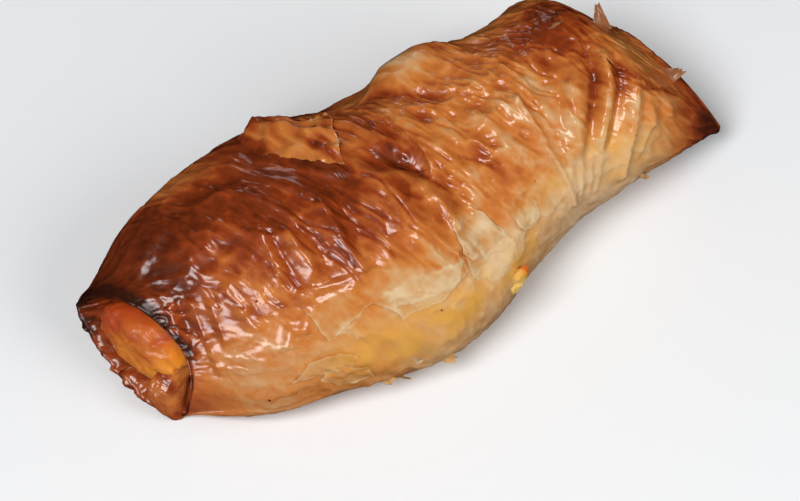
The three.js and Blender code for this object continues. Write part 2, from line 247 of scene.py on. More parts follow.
def lumps(a, b, seed):
    """A smooth random field from -1 to 1, one lump to a unit square."""
    table = np.random.default_rng(seed).uniform(-1, 1, (LATTICE, LATTICE))
    ia, ib = np.floor(a).astype(int), np.floor(b).astype(int)
    ta, tb = a - ia, b - ib
    ta, tb = ta * ta * (3 - 2 * ta), tb * tb * (3 - 2 * tb)
    next_a, next_b = (ia + 1) % LATTICE, (ib + 1) % LATTICE
    ia, ib = ia % LATTICE, ib % LATTICE
    low = table[ia, ib] * (1 - ta) + table[next_a, ib] * ta
    high = table[ia, next_b] * (1 - ta) + table[next_a, next_b] * ta
    return low * (1 - tb) + high * tb


def crumple(x, arc, length, width, seed):
    """Narrow-crested ridges, from 0 in the hollows to nearly 1 on the crests."""
    drift = SLANT * arc + 3.0 * lumps(x / 22, arc / 22, seed + 1)
    field = lumps((x - drift) / width, arc / length, seed)
    return (1 - np.sqrt(field ** 2 + 0.002)) ** 2


print(len(RIDGES), "sizes of ridge, from", RIDGES[0][0], "to", RIDGES[-1][0], "mm high")

# %% [markdown]
# Creases and torn layers. Where a brittle sheet bent too far it creased, and where it tore the layer below
# shows, a step as thin as paper. The creases are short slanted paths strewn by a seeded rule. The torn layers
# low on the near side are ragged ovals whose place and size are listed, and more are strewn over the
# crown.

# %% Creases and torn layers
CREASE_COUNT = 110


def crease_paths(number):
    """Fine creases scattered over the crown, each a path of (x, angle)."""
    chance = np.random.default_rng(611)
    paths = []
    for _ in range(number):
        x, degrees = chance.uniform((-76, 45), (82, 130))
        length, slope, bend = chance.uniform((5, 0.1, -1.5), (13, 0.8, 1.5))
        paths.append([(x + slope * t * length + bend * (1 - abs(2 * t)), degrees + t * length / MM_PER_DEGREE)
                      for t in (-0.5, 0, 0.5)])
    return paths


CREASES = crease_paths(CREASE_COUNT)


def creased(x, arc, width):
    """1 along the fine creases, dying out over a width."""
    nearest = np.min([distance_to_path(x, arc, path) for path in CREASES], axis=0)
    return np.exp(-(nearest / width) ** 2)


LAYERS = [
    # middle (x, angle) of a torn layer, half size (x, angle), how much paler it is
    ((-12, 143), (13, 8), 0.16), ((-22, 136), (12, 9), 0.10), ((-36, 140), (11, 10), 0.10),
    ((-30, 150), (10, 7), 0.10), ((-48, 138), (9, 12), 0.06), ((-56, 150), (10, 10), 0.05),
    ((-4, 128), (6, 14), 0.08), ((32, 150), (9, 12), 0.12), ((46, 152), (8, 14), 0.12),
    ((55, 158), (7, 12), 0.10), ((14, 156), (9, 10), 0.15), ((66, 158), (7, 12), 0.08),
    ((-64, 132), (7, 16), 0.05), ((-40, 118), (8, 12), 0.05), ((26, 126), (8, 13), 0.05),
    ((3, 158), (9, 8), 0.10), ((-44, 165), (9, 6), -0.10), ((-36, 172), (8, 5), -0.08),
    ((-56, 172), (8, 6), -0.10), ((-30, 178), (7, 4), -0.06),
]
CROWN_LAYERS = 26
LAYER_STEP = 0.24


def ragged_oval(middle, half, seed, corners=14):
    """An uneven closed outline on the unrolled skin."""
    chance = np.random.default_rng(seed)
    turns = (np.arange(corners) + chance.uniform(-0.3, 0.3, corners)) / corners * 2 * np.pi
    reach = chance.uniform(0.65, 1.15, corners)
    return [(middle[0] + half[0] * r * np.cos(t), middle[1] + half[1] * r * np.sin(t))
            for t, r in zip(turns, reach)]


def depth_inside(x, arc, outline):
    """How deep points lie inside an outline, in millimetres; negative outside."""
    corners = np.array([(px, degrees * MM_PER_DEGREE) for px, degrees in outline], float)
    nearest = np.full(np.shape(x), 1e9)
    inside = np.zeros(np.shape(x), bool)
    for start, end in zip(corners, np.roll(corners, -1, 0)):
        step = end - start
        t = np.clip(((x - start[0]) * step[0] + (arc - start[1]) * step[1]) / (step @ step), 0, 1)
        nearest = np.minimum(nearest, np.hypot(x - start[0] - t * step[0], arc - start[1] - t * step[1]))
        spans = (start[1] > arc) != (end[1] > arc)
        rise = np.where(end[1] == start[1], 1e-9, end[1] - start[1])
        inside ^= spans & (x < start[0] + (arc - start[1]) / rise * (end[0] - start[0]))
    return np.where(inside, nearest, -nearest)


def layer_cover(x, arc):
    """Each torn layer in turn: how much paler it is, and where it covers the skin, from 0 to 1."""
    tear = 0.5 * lumps(x / 2.5, arc / 2.5, 401) + 0.3 * lumps(x / 0.9, arc / 0.9, 402)
    ovals = [(ragged_oval(middle, half, 300 + number), paler)
             for number, (middle, half, paler) in enumerate(LAYERS)]
    chance = np.random.default_rng(340)
    for number in range(CROWN_LAYERS):
        middle = chance.uniform((-72, 45), (72, 125))
        half = chance.uniform((4, 8), (9, 20))
        ovals.append((ragged_oval(middle, half, 350 + number), chance.uniform(-0.07, 0.07)))
    for outline, paler in ovals:
        depth = depth_inside(x, arc, outline) + tear
        cover = np.clip(depth / 0.5 + 0.5, 0, 1)
        yield paler * (1 + 0.6 * np.exp(-((depth - 0.4) / 0.5) ** 2)), cover


print(len(CREASES), "creases and", len(LAYERS) + CROWN_LAYERS, "torn layers")

# %% [markdown]
# The skin's height. Folds, ridges, layers and the swollen rim of the left mouth are added up to one height
# over the smooth roll. The golden bulge in the middle crumpled most, and the pleats by the right end hardly,
# so soft patches turn the ridges up or down. Close to the floor the height dies out, because the roll lies
# flat there.

# %% The skin's height
LIVELINESS = 0.38
LIVELIER = [
    # middle (x, angle) of a patch, its reach (x, angle), how much livelier the ridges are
    ((24, 92), (20, 40), 0.5), ((-62, 95), (14, 40), 0.2), ((-63, 62), (14, 28), 0.4),
]
CALMER = [
    # middle (x, angle) of a patch, its reach (x, angle), the share of the ridges that is lost
    ((19, 46), (9, 13), 0.7), ((46, 126), (6, 16), 0.6), ((60, 134), (22, 40), 0.75),
    ((-63, 126), (8, 28), 0.65), ((-44, 128), (24, 20), 0.65), ((-32, 92), (20, 22), 0.5),
    ((-10, 113), (9, 15), 0.55),
]


def patch(x, arc, middle, reach):
    """A soft-edged patch of the skin, 1 in its middle."""
    along = (x - middle[0]) / reach[0]
    around = (arc - middle[1] * MM_PER_DEGREE) / (reach[1] * MM_PER_DEGREE)
    return np.exp(-along ** 2 - around ** 2)


def arc_of(angle):
    """Place round the unrolled skin in millimetres; the seam is underneath."""
    return (np.degrees(angle) + 90) % 360 * MM_PER_DEGREE - 90 * MM_PER_DEGREE


def relief(x, angle):
    """Height of the crumpled sheets over the smooth roll, in millimetres."""
    arc = arc_of(angle)
    from_lip = np.abs(x - mouth_x(LEFT_MOUTH, angle))
    lively = LIVELINESS
    for middle, reach, amount in LIVELIER:
        lively = lively + amount * patch(x, arc, middle, reach)
    lively = lively * (1 - 0.6 * np.exp(-(from_lip / 5) ** 2))
    for middle, reach, lost in CALMER:
        lively = lively * (1 - lost * patch(x, arc, middle, reach))
    ridges = sum(height * (crumple(x, arc, length, width, seed) - level)
                 for height, level, length, width, seed, _ in RIDGES)
    rim = (0.9 + 0.3 * lumps(arc / 9, x / 9, 41)) * np.exp(-((from_lip - 2) / 2.2) ** 2)
    rim = rim * (1 - 0.4 * np.clip((arc / MM_PER_DEGREE - 80) / 30, 0, 1))
    layers = sum(LAYER_STEP * cover for _, cover in layer_cover(x, arc))
    layers = layers + 0.35 * creased(x, arc, 1.6) - 0.5 * creased(x, arc, 0.55)
    return hand_folds(x, arc) + lively * ridges + rim * (np.sin(angle) > 0) + layers


def skin(u, angle, lift=0.0):
    """Points of the crumpled skin, lifted off it by so many millimetres."""
    points, out = smooth_roll(u, angle)
    steady = np.clip(points[..., 2] / 6, 0, 1) ** 2
    height = steady * relief(points[..., 0], angle) + lift
    return points + out * height[..., None]


print("relief at the crown:", relief(np.array([0.0, 30.0]), np.radians([90.0, 90.0])).round(2), "mm")

# %% [markdown]
# Browning. The oven browned the left end nearly black, the crown golden to red-brown, and left the near
# side low down the colour of cream. A picture could be painted, but a rule keeps to the form: a value from
# 0, raw dough, to 1, burnt, is worked out at each point from its place on the roll and kept as an attribute
# of the mesh, and the finish turns it into colour.

# %% Browning along the roll
# each is a list of (x, value); the border is the angle where the browned crown ends on the near side
CROWN = [(-90, 0.93), (-70, 0.80), (-55, 0.76), (-40, 0.76), (-26, 0.75), (-14, 0.69), (0, 0.59), (15, 0.50),
         (30, 0.48), (45, 0.47), (58, 0.51), (70, 0.48), (80, 0.53), (90, 0.92)]
NEAR_SIDE = [(-90, 0.55), (-74, 0.47), (-60, 0.30), (-45, 0.40), (-28, 0.34), (-12, 0.17), (0, 0.17),
             (20, 0.20), (42, 0.08), (60, 0.11), (74, 0.31), (83, 0.62), (89, 1.0)]
BORDER = [(-90, 158), (-72, 142), (-56, 131), (-40, 128), (-24, 129), (-10, 133), (0, 139), (20, 140),
          (45, 144), (62, 142), (76, 152), (92, 178)]


def profile(x, table):
    places, values = zip(*table)
    return np.interp(x, places, values)


print("crown at the middle:", profile(0.0, CROWN), "near side:", profile(0.0, NEAR_SIDE))

# %% [markdown]
# Spots, sheets and valleys. An oven never browns evenly: a blister close to the heat goes dark, a sheet that
# lay under another stays pale, and a valley browns deeper. Valleys and some darker sheets also carry painted
# shade where the folds shade the skin, and some paler spots and ridges are painted highlights. Each of these
# that shows is listed: a soft patch for a spot, an outline for a sheet, a path for a valley or a pale ridge,
# and a patch of yellow where butter has soaked in.

# %% Spots, sheets and valleys
PATCHES = [
    # middle (x, angle), reach (x, angle), how much browner
    ((-52, 36), (10, 14), -0.32),
    ((-66, 62), (16, 26), 0.13),
    ((-44, 80), (16, 16), 0.03),
    ((-50, 108), (9, 14), -0.04),
    # the next two are paler partly as painted highlight on the ribs by the left mouth
    ((-61, 109), (8, 14), -0.13),
    ((-62, 133), (6, 8), -0.04),
    ((-44, 61), (9, 10), 0.08),
    ((-34, 94), (12, 10), -0.06),
    ((-6, 70), (7, 9), 0.05),
    ((-24, 60), (9, 14), -0.06),
    # darker partly as painted shade in the valley beside the drape
    ((-24, 94), (6, 22), 0.04),
    ((56, 74), (15, 17), 0.38),
    ((46, 122), (6, 14), -0.19),
    ((-72, 176), (9, 14), 0.20),
    ((-3, 72), (5, 12), 0.08),
    # darker partly as painted shade in the valley by the bulge
    ((57, 118), (4, 14), 0.08),
    ((49, 112), (4, 12), -0.05),
    ((17, 47), (7, 12), -0.34),
    ((-36, 142), (14, 12), 0.05),
    ((-58, 164), (16, 12), -0.06),
    ((76, 112), (8, 14), -0.14),
    ((64, 90), (9, 11), 0.13),
    ((29, 46), (7, 12), 0.12),
    ((47, 60), (9, 11), 0.08),
    ((57, 148), (6, 8), 0.10),
    # paler partly as painted highlight
    ((42, 132), (5, 9), -0.13),
    ((21, 89), (7, 9), -0.09),
    ((39, 92), (7, 9), -0.08),
    ((48, 87), (5, 8), -0.07),
    ((29, 143), (6, 8), 0.08),
    ((27, 43), (6, 8), 0.10),
    ((60, 104), (4, 7), -0.08),
    ((-41, 154), (8, 8), -0.12),
    ((-43, 85), (6, 7), -0.06),
    ((-26, 100), (5, 8), -0.06),
]
SHEETS_AND_PAINTED_SHADE = [
    # outline (x, angle) of a sheet darker or paler than its neighbours, the darker ones by the folds
    # partly painted shade, then how much browner
    ([(-40, 60), (-30, 66), (-20, 76), (-14, 85), (-17, 100), (-24, 120), (-27, 124), (-26, 110), (-26, 95),
      (-31, 80), (-38, 66)], 0.10),
    ([(-43, 68), (-34, 84), (-34, 93), (-38, 99), (-46, 92), (-48, 81)], 0.11),
    ([(-73, 36), (-61, 54), (-49, 68), (-47, 76), (-56, 75), (-65, 69), (-72, 58)], 0.08),
    ([(-71, 64), (-61, 83), (-60, 96), (-67, 96), (-72, 79)], 0.11),
    ([(-55, 82), (-49, 101), (-48, 116), (-51, 118), (-53, 100), (-57, 86)], -0.14),
    ([(60, 116), (62, 125), (59, 139), (53, 149), (51, 144), (57, 132)], -0.12),
]
SHADED_VALLEYS_AND_LIT_RIDGES = [
    # path of (x, angle) along a valley, darker from browning and painted shade, or along a ridge
    # paled as a painted highlight, then half width and how much browner
    # painted shadow in the pocket under the orange flap's edge
    ([(-4, 87), (-1, 93), (3, 100)], 0.7, 0.15),
    ([(3, 101), (7, 114)], 0.8, 0.15),
    # painted shadow in the crease under the end flap
    ([(67, 118), (71, 126), (73, 133), (81, 135)], 0.8, 0.25),
    # painted shadow under the lower edge of the loose tan sheet
    ([(-32, 52), (-26, 67), (-19, 78), (-14, 86)], 1.6, 0.22),
    ([(-26, 92), (-27, 108), (-27, 122)], 1.0, 0.12),
    ([(4, 46), (12, 62), (20, 76)], 1.2, 0.12),
    ([(60.8, 101), (60.1, 112), (56.6, 122), (51.9, 133)], 1.8, 0.13),
    ([(66.3, 116), (64.7, 126), (59.7, 138), (54.5, 152)], 1.4, 0.12),
    ([(48, 86), (49, 92), (49.5, 97)], 2.0, 0.12),
    ([(20.5, 105), (21.1, 116), (22.2, 130)], 1.8, 0.14),
    ([(44.4, 85), (46.7, 94), (47.7, 104)], 2.0, 0.10),
    ([(25.8, 78), (26.1, 86), (26.3, 93)], 1.5, 0.08),
    ([(43.1, 95), (42.5, 107), (42.1, 121)], 1.6, -0.13),
    ([(22.2, 96), (25.7, 105), (27.6, 114)], 2.0, -0.10),
]
BUTTER = [
    # middle (x, angle), reach (x, angle), how much butter
    ((-21, 168), (18, 14), 1.2), ((-3, 163), (12, 10), 0.95), ((18, 168), (9, 13), 0.9),
    ((30, 150), (5, 9), 0.4), ((60, 166), (10, 13), 0.8), ((54, 148), (9, 14), 0.5),
    ((36, 153), (7, 10), 0.45),
]
print(len(PATCHES), "spots,", len(SHEETS_AND_PAINTED_SHADE), "sheets,", len(SHADED_VALLEYS_AND_LIT_RIDGES), "valleys,", len(BUTTER), "buttery patches")

# %% [markdown]
# The browning of a point. The crown's run and the near side's run meet at a ragged border, and the spots,
# sheets and valleys are added to them. Crests come out paler, where the thin dough is translucent, and the
# valleys of the folds and the creases darker, as painted shade. The lip of the left mouth is charred.

# %% Browning
NARROW_FOLD = 3


def browning(x, angle):
    """How browned the skin is, from 0, raw, to 1, burnt."""
    arc = arc_of(angle)
    degrees = arc / MM_PER_DEGREE
    slanted = x - SLANT * arc
    ragged = 7 * lumps(x / 8, arc / 6, 51) + 4 * lumps(x / 3, arc / 3, 52)
    crown = 1 / (1 + np.exp((degrees + ragged - profile(x, BORDER)) / 7))
    crown = crown * np.clip((degrees + 60) / 40, 0, 1)
    value = profile(x, NEAR_SIDE) * (1 - crown) + profile(x, CROWN) * crown
    for middle, reach, amount in PATCHES:
        value = value + amount * patch(x, arc, middle, reach)
    from_lip = np.abs(x - mouth_x(LEFT_MOUTH, angle))
    charred = (0.34 + 0.25 * lumps(arc / 3, x / 3, 63)) * np.exp(-(from_lip / 1.3) ** 2)
    charred = charred * (1 - 0.25 * np.clip((degrees - 80) / 30, 0, 1))
    value = value + charred * np.clip((155 - degrees) / 20, 0, 1) * (degrees > 0)
    crests = sum(paler * (crumple(x, arc, length, width, seed) - level)
                 for _, level, length, width, seed, paler in RIDGES)
    # folds that rise are paler along their crests; the valleys of the folds are darkened as painted shade
    for path, width, rise in FOLDS:
        if width < NARROW_FOLD:
            crest = np.exp(-(distance_to_path(x, arc, path) / width) ** 2)
            crests = crests + 0.07 * np.clip(rise, -1.5, 1.5) * crest
    value = value - crests * (0.35 + 0.65 * crown) * np.clip(1.5 - value, 0.4, 1)
    # the narrow creases are darkened as painted shade
    value = value + (0.14 * creased(x, arc, 0.5) - 0.05 * creased(x, arc, 1.8)) * crown
    tear = 1.2 * lumps(x / 4, arc / 4, 64) + 0.6 * lumps(x / 1.5, arc / 1.5, 65)
    # the darker sheets by the folds carry painted shade
    for outline, amount in SHEETS_AND_PAINTED_SHADE:
        value = value + amount * np.clip((depth_inside(x, arc, outline) + tear) / 1.6 + 0.5, 0, 1)
    # valleys get painted shade and pale ridges a painted highlight
    for path, width, amount in SHADED_VALLEYS_AND_LIT_RIDGES:
        value = value + amount * np.exp(-(distance_to_path(x, arc, path) / width) ** 2)
    for paler, cover in layer_cover(x, arc):
        value = value - paler * cover * np.clip(0.7 + 0.7 * lumps(x / 5, arc / 5, 403), 0.1, 1.3)
    streaks = 0.06 * lumps(slanted / 5, arc / 9, 61) + 0.05 * lumps(slanted / 2.2, arc / 4, 62)
    value = value + streaks * (0.4 + 0.6 * crown) * np.clip(1.3 - value, 0.3, 1)
    scorched = 0.6 * lumps(x / 5, arc / 7, 66) + 0.4 * lumps(x / 2, arc / 3, 67)
    value = value + 0.11 * scorched * patch(x, arc, (-63, 76), (17, 36))
    burnt = np.maximum(value - 0.79, 0) * (1 - np.exp(-(from_lip / 4) ** 2)) * (x < 60)
    return np.clip(value - 0.6 * burnt, 0, 1)


def butter(x, angle):
    """How far butter has soaked the skin yellow, from 0 to 1."""
    arc = arc_of(angle)
    value = sum(amount * patch(x, arc, middle, reach) for middle, reach, amount in BUTTER)
    return np.clip(value * (0.8 + 0.5 * lumps(x / 4, arc / 4, 71)), 0, 1)


print("browning on top:", browning(np.array([-60.0, 0.0, 60.0]), np.radians([90.0] * 3)).round(2))

# %% [markdown]
# Tools for every piece. Each piece below starts as a plain grid or ball from Blender's mesh operators, and
# its vertices are then moved to where the form wants them. Values such as the browning are kept with the
# vertices as attributes, where a finish can read them.

# %% Tools for every piece
def in_metres(points):
    return (points + CENTRING) * MM


def new_piece(name, bm, material=None):
    """A finished mesh object from a bmesh."""
    mesh = bpy.data.meshes.new(name)
    bm.to_mesh(mesh)
    bm.free()
    mesh.polygons.foreach_set("use_smooth", np.ones(len(mesh.polygons), bool))
    piece = bpy.data.objects.new(name, mesh)
    bpy.context.scene.collection.objects.link(piece)
    if material:
        mesh.materials.append(material)
    return piece


def grid_of(columns, rows):
    """A fresh bmesh grid, with each vertex's column and row from 0 to 1."""
    bm = bmesh.new()
    bmesh.ops.create_grid(bm, x_segments=columns, y_segments=rows, size=0.5)
    flat = np.array([vert.co[:2] for vert in bm.verts]) + 0.5
    return bm, flat[:, 0], flat[:, 1]


def ball_of(subdivisions):
    """A fresh bmesh ball of radius 1, with its points."""
    bm = bmesh.new()
    bmesh.ops.create_icosphere(bm, subdivisions=subdivisions, radius=1)
    return bm, np.array([vert.co[:] for vert in bm.verts])


def put(bm, points, **values):
    """Moves a bmesh's vertices, and keeps values with them."""
    for vert, point in zip(bm.verts, points):
        vert.co = point
    for name, numbers in values.items():
        kinds = bm.verts.layers.float if np.ndim(numbers) == 1 else bm.verts.layers.float_vector
        layer = kinds.new(name)
        for vert, number in zip(bm.verts, numbers):
            vert[layer] = number


def closed(bm):
    """Joins a bmesh's seams and turns its faces outwards."""
    bmesh.ops.remove_doubles(bm, verts=bm.verts, dist=1e-6)
    bmesh.ops.recalc_face_normals(bm, faces=bm.faces)


def unrolled(x, angle):
    """Places on the unrolled skin, sheared so that the wrinkles run straight up and down."""
    arc = arc_of(angle)
    return np.stack([x - SLANT * arc, arc, np.zeros_like(x)], -1)


print("middle of the crown:", in_metres(skin(np.array([0.5]), np.radians([90.0]))[0]).round(4), "m")

# %% [markdown]
# The mouths. At each end the sheets turn in over a rounded lip and narrow to the sausage, and on the left the
# lower lip is thicker, beaded and torn. Such a funnel could be sculpted; here it is worked out between two
# rings, the lip and the bore that the sausage fills, so that it follows both if they are changed.

# %% The mouths
LIP, LOWER_LIP = 1.6, 3.0
LIP_PROUD = 0.8
FUNNEL_DEPTH = 13.0
BORE_HALF_WIDTH, BORE_HALF_HEIGHT = 14.85, 10.35
SAUSAGE_TIP = np.array([-82.0, 7.0, 14.0])
SAUSAGE_END = np.array([82.0, 3.5, 22.2])


def sausage_axis(x):
    t = (x - SAUSAGE_TIP[0]) / (SAUSAGE_END[0] - SAUSAGE_TIP[0])
    return SAUSAGE_TIP + (SAUSAGE_END - SAUSAGE_TIP) * np.asarray(t)[..., None]


def mouth_wall(mouth, angle, depth):
    """Points of a mouth's wall: depth 0 is the lip's outer edge, 1 its inner edge, 2 the bore."""
    edge = skin(np.full_like(angle, mouth["u"]), angle)
    end = 0 if mouth is LEFT_MOUTH else -1
    middle_z = (STATIONS["top_z"][end] + STATIONS["base_z"][end]) / 2
    inward = np.array([0, along_roll(STATIONS["middle_y"], mouth["u"]), middle_z]) - edge
    inward[:, 0] = 0
    inward /= np.linalg.norm(inward, axis=1, keepdims=True)
    on_lip = np.clip(depth, 0, 1)
    below = np.clip(-np.sin(angle), 0, 1) ** 0.5 * (mouth is LEFT_MOUTH)
    beads = 0.5 * lumps(angle * 7, depth * 3, 111) + 0.4 * lumps(angle * 19, depth * 7, 112)
    thick = LIP + (LOWER_LIP - LIP) * below + beads
    lip = edge + inward * (thick * on_lip)[:, None]
    torn = 1 + below * (0.9 * lumps(angle * 9, on_lip * 2, 113) + 0.7 * lumps(angle * 23, on_lip * 4, 114))
    lip[:, 0] += mouth["outward"] * LIP_PROUD * torn * np.sin(np.pi * on_lip)
    bore_x = mouth["x"] - mouth["outward"] * FUNNEL_DEPTH
    bore = sausage_axis(np.full_like(angle, bore_x))
    bore[:, 1] += BORE_HALF_WIDTH * np.cos(angle)
    bore[:, 2] += BORE_HALF_HEIGHT * np.sin(angle)
    inside = np.clip(depth - 1, 0, 1)
    narrowing = np.sin(inside * np.pi / 2)[:, None]
    wall = lip * (1 - narrowing) + bore * narrowing
    wall[:, 0] = lip[:, 0] * (1 - inside) + bore_x * inside
    return wall


lip_tops = [float(mouth_x(mouth, np.pi / 2)) for mouth in (LEFT_MOUTH, RIGHT_MOUTH)]
print("tops of the lips at x =", lip_tops, "mm")

# %% [markdown]
# The skin. One sheet of squares is bent into the whole surface: out along the roll, in over the lip of the
# right mouth, back through the bore that the sausage fills and out at the left lip. Rows of the grid go
# round the roll and its columns run along, closer together on the side that is seen.

# %% The skin
SKIN_ROWS, LIP_ROWS, FUNNEL_ROWS = 430, 8, 8
ROUND = 212


def chain_of_rings():
    """The kind of each ring of the skin in turn, and its place within that kind."""
    lip = np.linspace(0, 1, LIP_ROWS + 1)[1:]
    funnel = 1 + np.linspace(0, 1, FUNNEL_ROWS + 1)[1:]
    wall = np.concatenate([lip, funnel])
    kinds = np.concatenate([np.zeros(SKIN_ROWS + 1), np.full(len(wall), 1), np.full(len(wall), 2), [0]])
    places = np.concatenate([np.linspace(0, 1, SKIN_ROWS + 1), wall, wall[::-1], [0]])
    return kinds, places


def round_the_roll(column):
    """Angle of a column, with the columns closer together on the seen side."""
    degrees = np.linspace(-90, 270, 721)
    density = np.cumsum(0.35 + np.exp(-((degrees - 110) / 85) ** 2))
    return np.radians(np.interp(column, (density - density[0]) / (density[-1] - density[0]), degrees))


kinds, places = chain_of_rings()
skin_bm, column, row = grid_of(ROUND, len(kinds) - 1)
angle = round_the_roll(column)
ring = np.rint(row * (len(kinds) - 1)).astype(int)
kind, place = kinds[ring], places[ring]
skin_points = np.zeros((len(ring), 3))
outside = kind == 0
skin_points[outside] = skin(place[outside], angle[outside])
for number, mouth in ((1, RIGHT_MOUTH), (2, LEFT_MOUTH)):
    wall = kind == number
    skin_points[wall] = mouth_wall(mouth, angle[wall], place[wall])
at_x = skin_points[:, 0]
in_mouth = 0.70 + 0.22 * np.exp(-place / 0.5) + 0.16 * lumps(at_x / 1.5, angle * 7, 81)
degrees = np.degrees(angle)
upper_lip = (kind == 2) * np.clip((degrees + 60) / 25, 0, 1) * np.clip((125 - degrees) / 30, 0, 1)
in_mouth = in_mouth + 0.32 * upper_lip * np.exp(-(place / 1.15) ** 2)
browned = np.where(outside, browning(at_x, angle), in_mouth)
put(skin_bm, in_metres(skin_points), browning=browned, butter=butter(at_x, angle) * outside,
    unrolled=unrolled(at_x, angle))
closed(skin_bm)
pastry_skin = new_piece("pastry_skin", skin_bm)
print("skin:", len(pastry_skin.data.vertices), "vertices", len(pastry_skin.data.polygons), "faces")

# %% [markdown]
# Tools for the finishes. A finish is a tree of nodes that ends in one shader. Placing and linking every node
# by hand is long, so short helpers do it: one for any node, and one each for the kinds that come up again.

# %% Tools for the finishes
def new_finish(name, values):
    """A material with plain values on its shader, together with its tree and the shader."""
    material = bpy.data.materials.new(name)
    material.use_nodes = True
    shader = material.node_tree.nodes["Principled BSDF"]
    for socket, value in values.items():
        shader.inputs[socket].default_value = value
    return material, material.node_tree, shader


def linked(tree, kind, inputs, **settings):
    """A new node with its settings, and its inputs linked or set."""
    node = tree.nodes.new(kind)
    for name, value in settings.items():
        setattr(node, name, value)
    for name, value in inputs.items():
        if isinstance(value, bpy.types.NodeSocket):
            tree.links.new(value, node.inputs[name])
        else:
            node.inputs[name].default_value = value
    return node


def kept_value(tree, name, output="Fac"):
    """A value that the mesh keeps with its vertices."""
    return linked(tree, "ShaderNodeAttribute", {}, attribute_name=name).outputs[output]


def stretched(tree, vector, scale):
    return linked(tree, "ShaderNodeMapping", {"Vector": vector, "Scale": scale}).outputs["Vector"]


def noise(tree, vector, scale, detail, roughness=0.5, distortion=0.0, kind="FBM"):
    values = {"Vector": vector, "Scale": scale, "Detail": detail, "Roughness": roughness,
              "Distortion": distortion}
    return linked(tree, "ShaderNodeTexNoise", values, noise_type=kind).outputs["Fac"]


def carried(tree, value, old, new):
    """A value carried from an old range to a new one."""
    values = {"Value": value, "From Min": old[0], "From Max": old[1], "To Min": new[0], "To Max": new[1]}
    return linked(tree, "ShaderNodeMapRange", values).outputs["Result"]


def worked_out(tree, operation, *values):
    return linked(tree, "ShaderNodeMath", dict(enumerate(values)), operation=operation).outputs[0]


def bumped(tree, height, strength, distance, under=None):
    """Bumps from a height, over other bumps where those are given."""
    values = {"Height": height, "Strength": strength, "Distance": distance}
    if under is not None:
        values["Normal"] = under
    return linked(tree, "ShaderNodeBump", values).outputs["Normal"]


def coloured(tree, value, colours):
    """A run of colours along a value."""
    ramp = linked(tree, "ShaderNodeValToRGB", {"Fac": value})
    for end, (position, colour) in zip(ramp.color_ramp.elements, (colours[0], colours[-1])):
        end.position, end.color = position, (*colour, 1)
    for position, colour in colours[1:-1]:
        ramp.color_ramp.elements.new(position).color = (*colour, 1)
    return ramp.outputs["Color"]


print("Blender", bpy.app.version_string, "has", len(bpy.data.materials), "materials so far")

# %% [markdown]
# Uneven browning. Dough browns in streaks along its folds and in specks where it blistered, on the roll and
# on its loose flakes alike. An effect that two finishes share is built once, as a node group, and placed in
# both. It reads the browning that the mesh keeps and gives it back broken up, less so where it is dark.

# %% Uneven browning
def uneven_browning():
    """A node group that breaks up the browning with streaks and specks."""
    group = bpy.data.node_groups.new("uneven_browning", "ShaderNodeTree")
    group.interface.new_socket("Specks", in_out="INPUT", socket_type="NodeSocketFloat")
    group.interface.new_socket("Browning", in_out="OUTPUT", socket_type="NodeSocketFloat")
    specks = group.nodes.new("NodeGroupInput").outputs["Specks"]
    brown = kept_value(group, "browning")
    along_folds = stretched(group, kept_value(group, "unrolled", "Vector"), (0.42, 0.17, 1))
    streaked = worked_out(group, "MULTIPLY_ADD", noise(group, along_folds, 1.0, 5, 0.55), 0.26, -0.13)
    specked = worked_out(group, "MULTIPLY_ADD", specks, 0.20, -0.10)
    uneven = worked_out(group, "ADD", streaked, specked)
    calmed = carried(group, brown, (0.4, 0.95), (1.0, 0.55))
    broken_up = worked_out(group, "MULTIPLY_ADD", uneven, calmed, brown)
    group.links.new(broken_up, group.nodes.new("NodeGroupOutput").inputs["Browning"])
    return group


UNEVEN_BROWNING = uneven_browning()
print("uneven browning has", len(UNEVEN_BROWNING.nodes), "nodes")

# %% [markdown]
# Crust finish. Baked dough is dull, and the egg wash over it is a clear, shiny skin, so the finish has two
# layers: a rough base that takes its colour from the browning, and a clear coat that gives the highlights
# and fades where the dough is burnt dry. Wrinkles, crinkles and specks too small for the mesh are bumps. The
# flakes wear the same finish in the drier colours of a single sheet.

# %% Crust finish
BAKED = [
    (0.00, (0.66, 0.46, 0.265)),
    (0.20, (0.58, 0.31, 0.130)),
    (0.40, (0.54, 0.178, 0.036)),
    (0.56, (0.42, 0.107, 0.020)),
    (0.72, (0.26, 0.040, 0.007)),
    (0.88, (0.10, 0.015, 0.003)),
    (1.00, (0.030, 0.007, 0.003)),
]
DRY = [(0.0, (0.66, 0.46, 0.265)), (0.5, (0.27, 0.105, 0.045)), (1.0, (0.08, 0.03, 0.015))]
BUTTER_YELLOW = (0.66, 0.32, 0.055, 1)
EGG_WASHED = {"IOR": 1.45, "Specular IOR Level": 0.08, "Coat IOR": 1.58, "Coat Roughness": 0.2,
              "Subsurface Weight": 0.08, "Subsurface Radius": (1.0, 0.35, 0.12), "Subsurface Scale": 0.002}


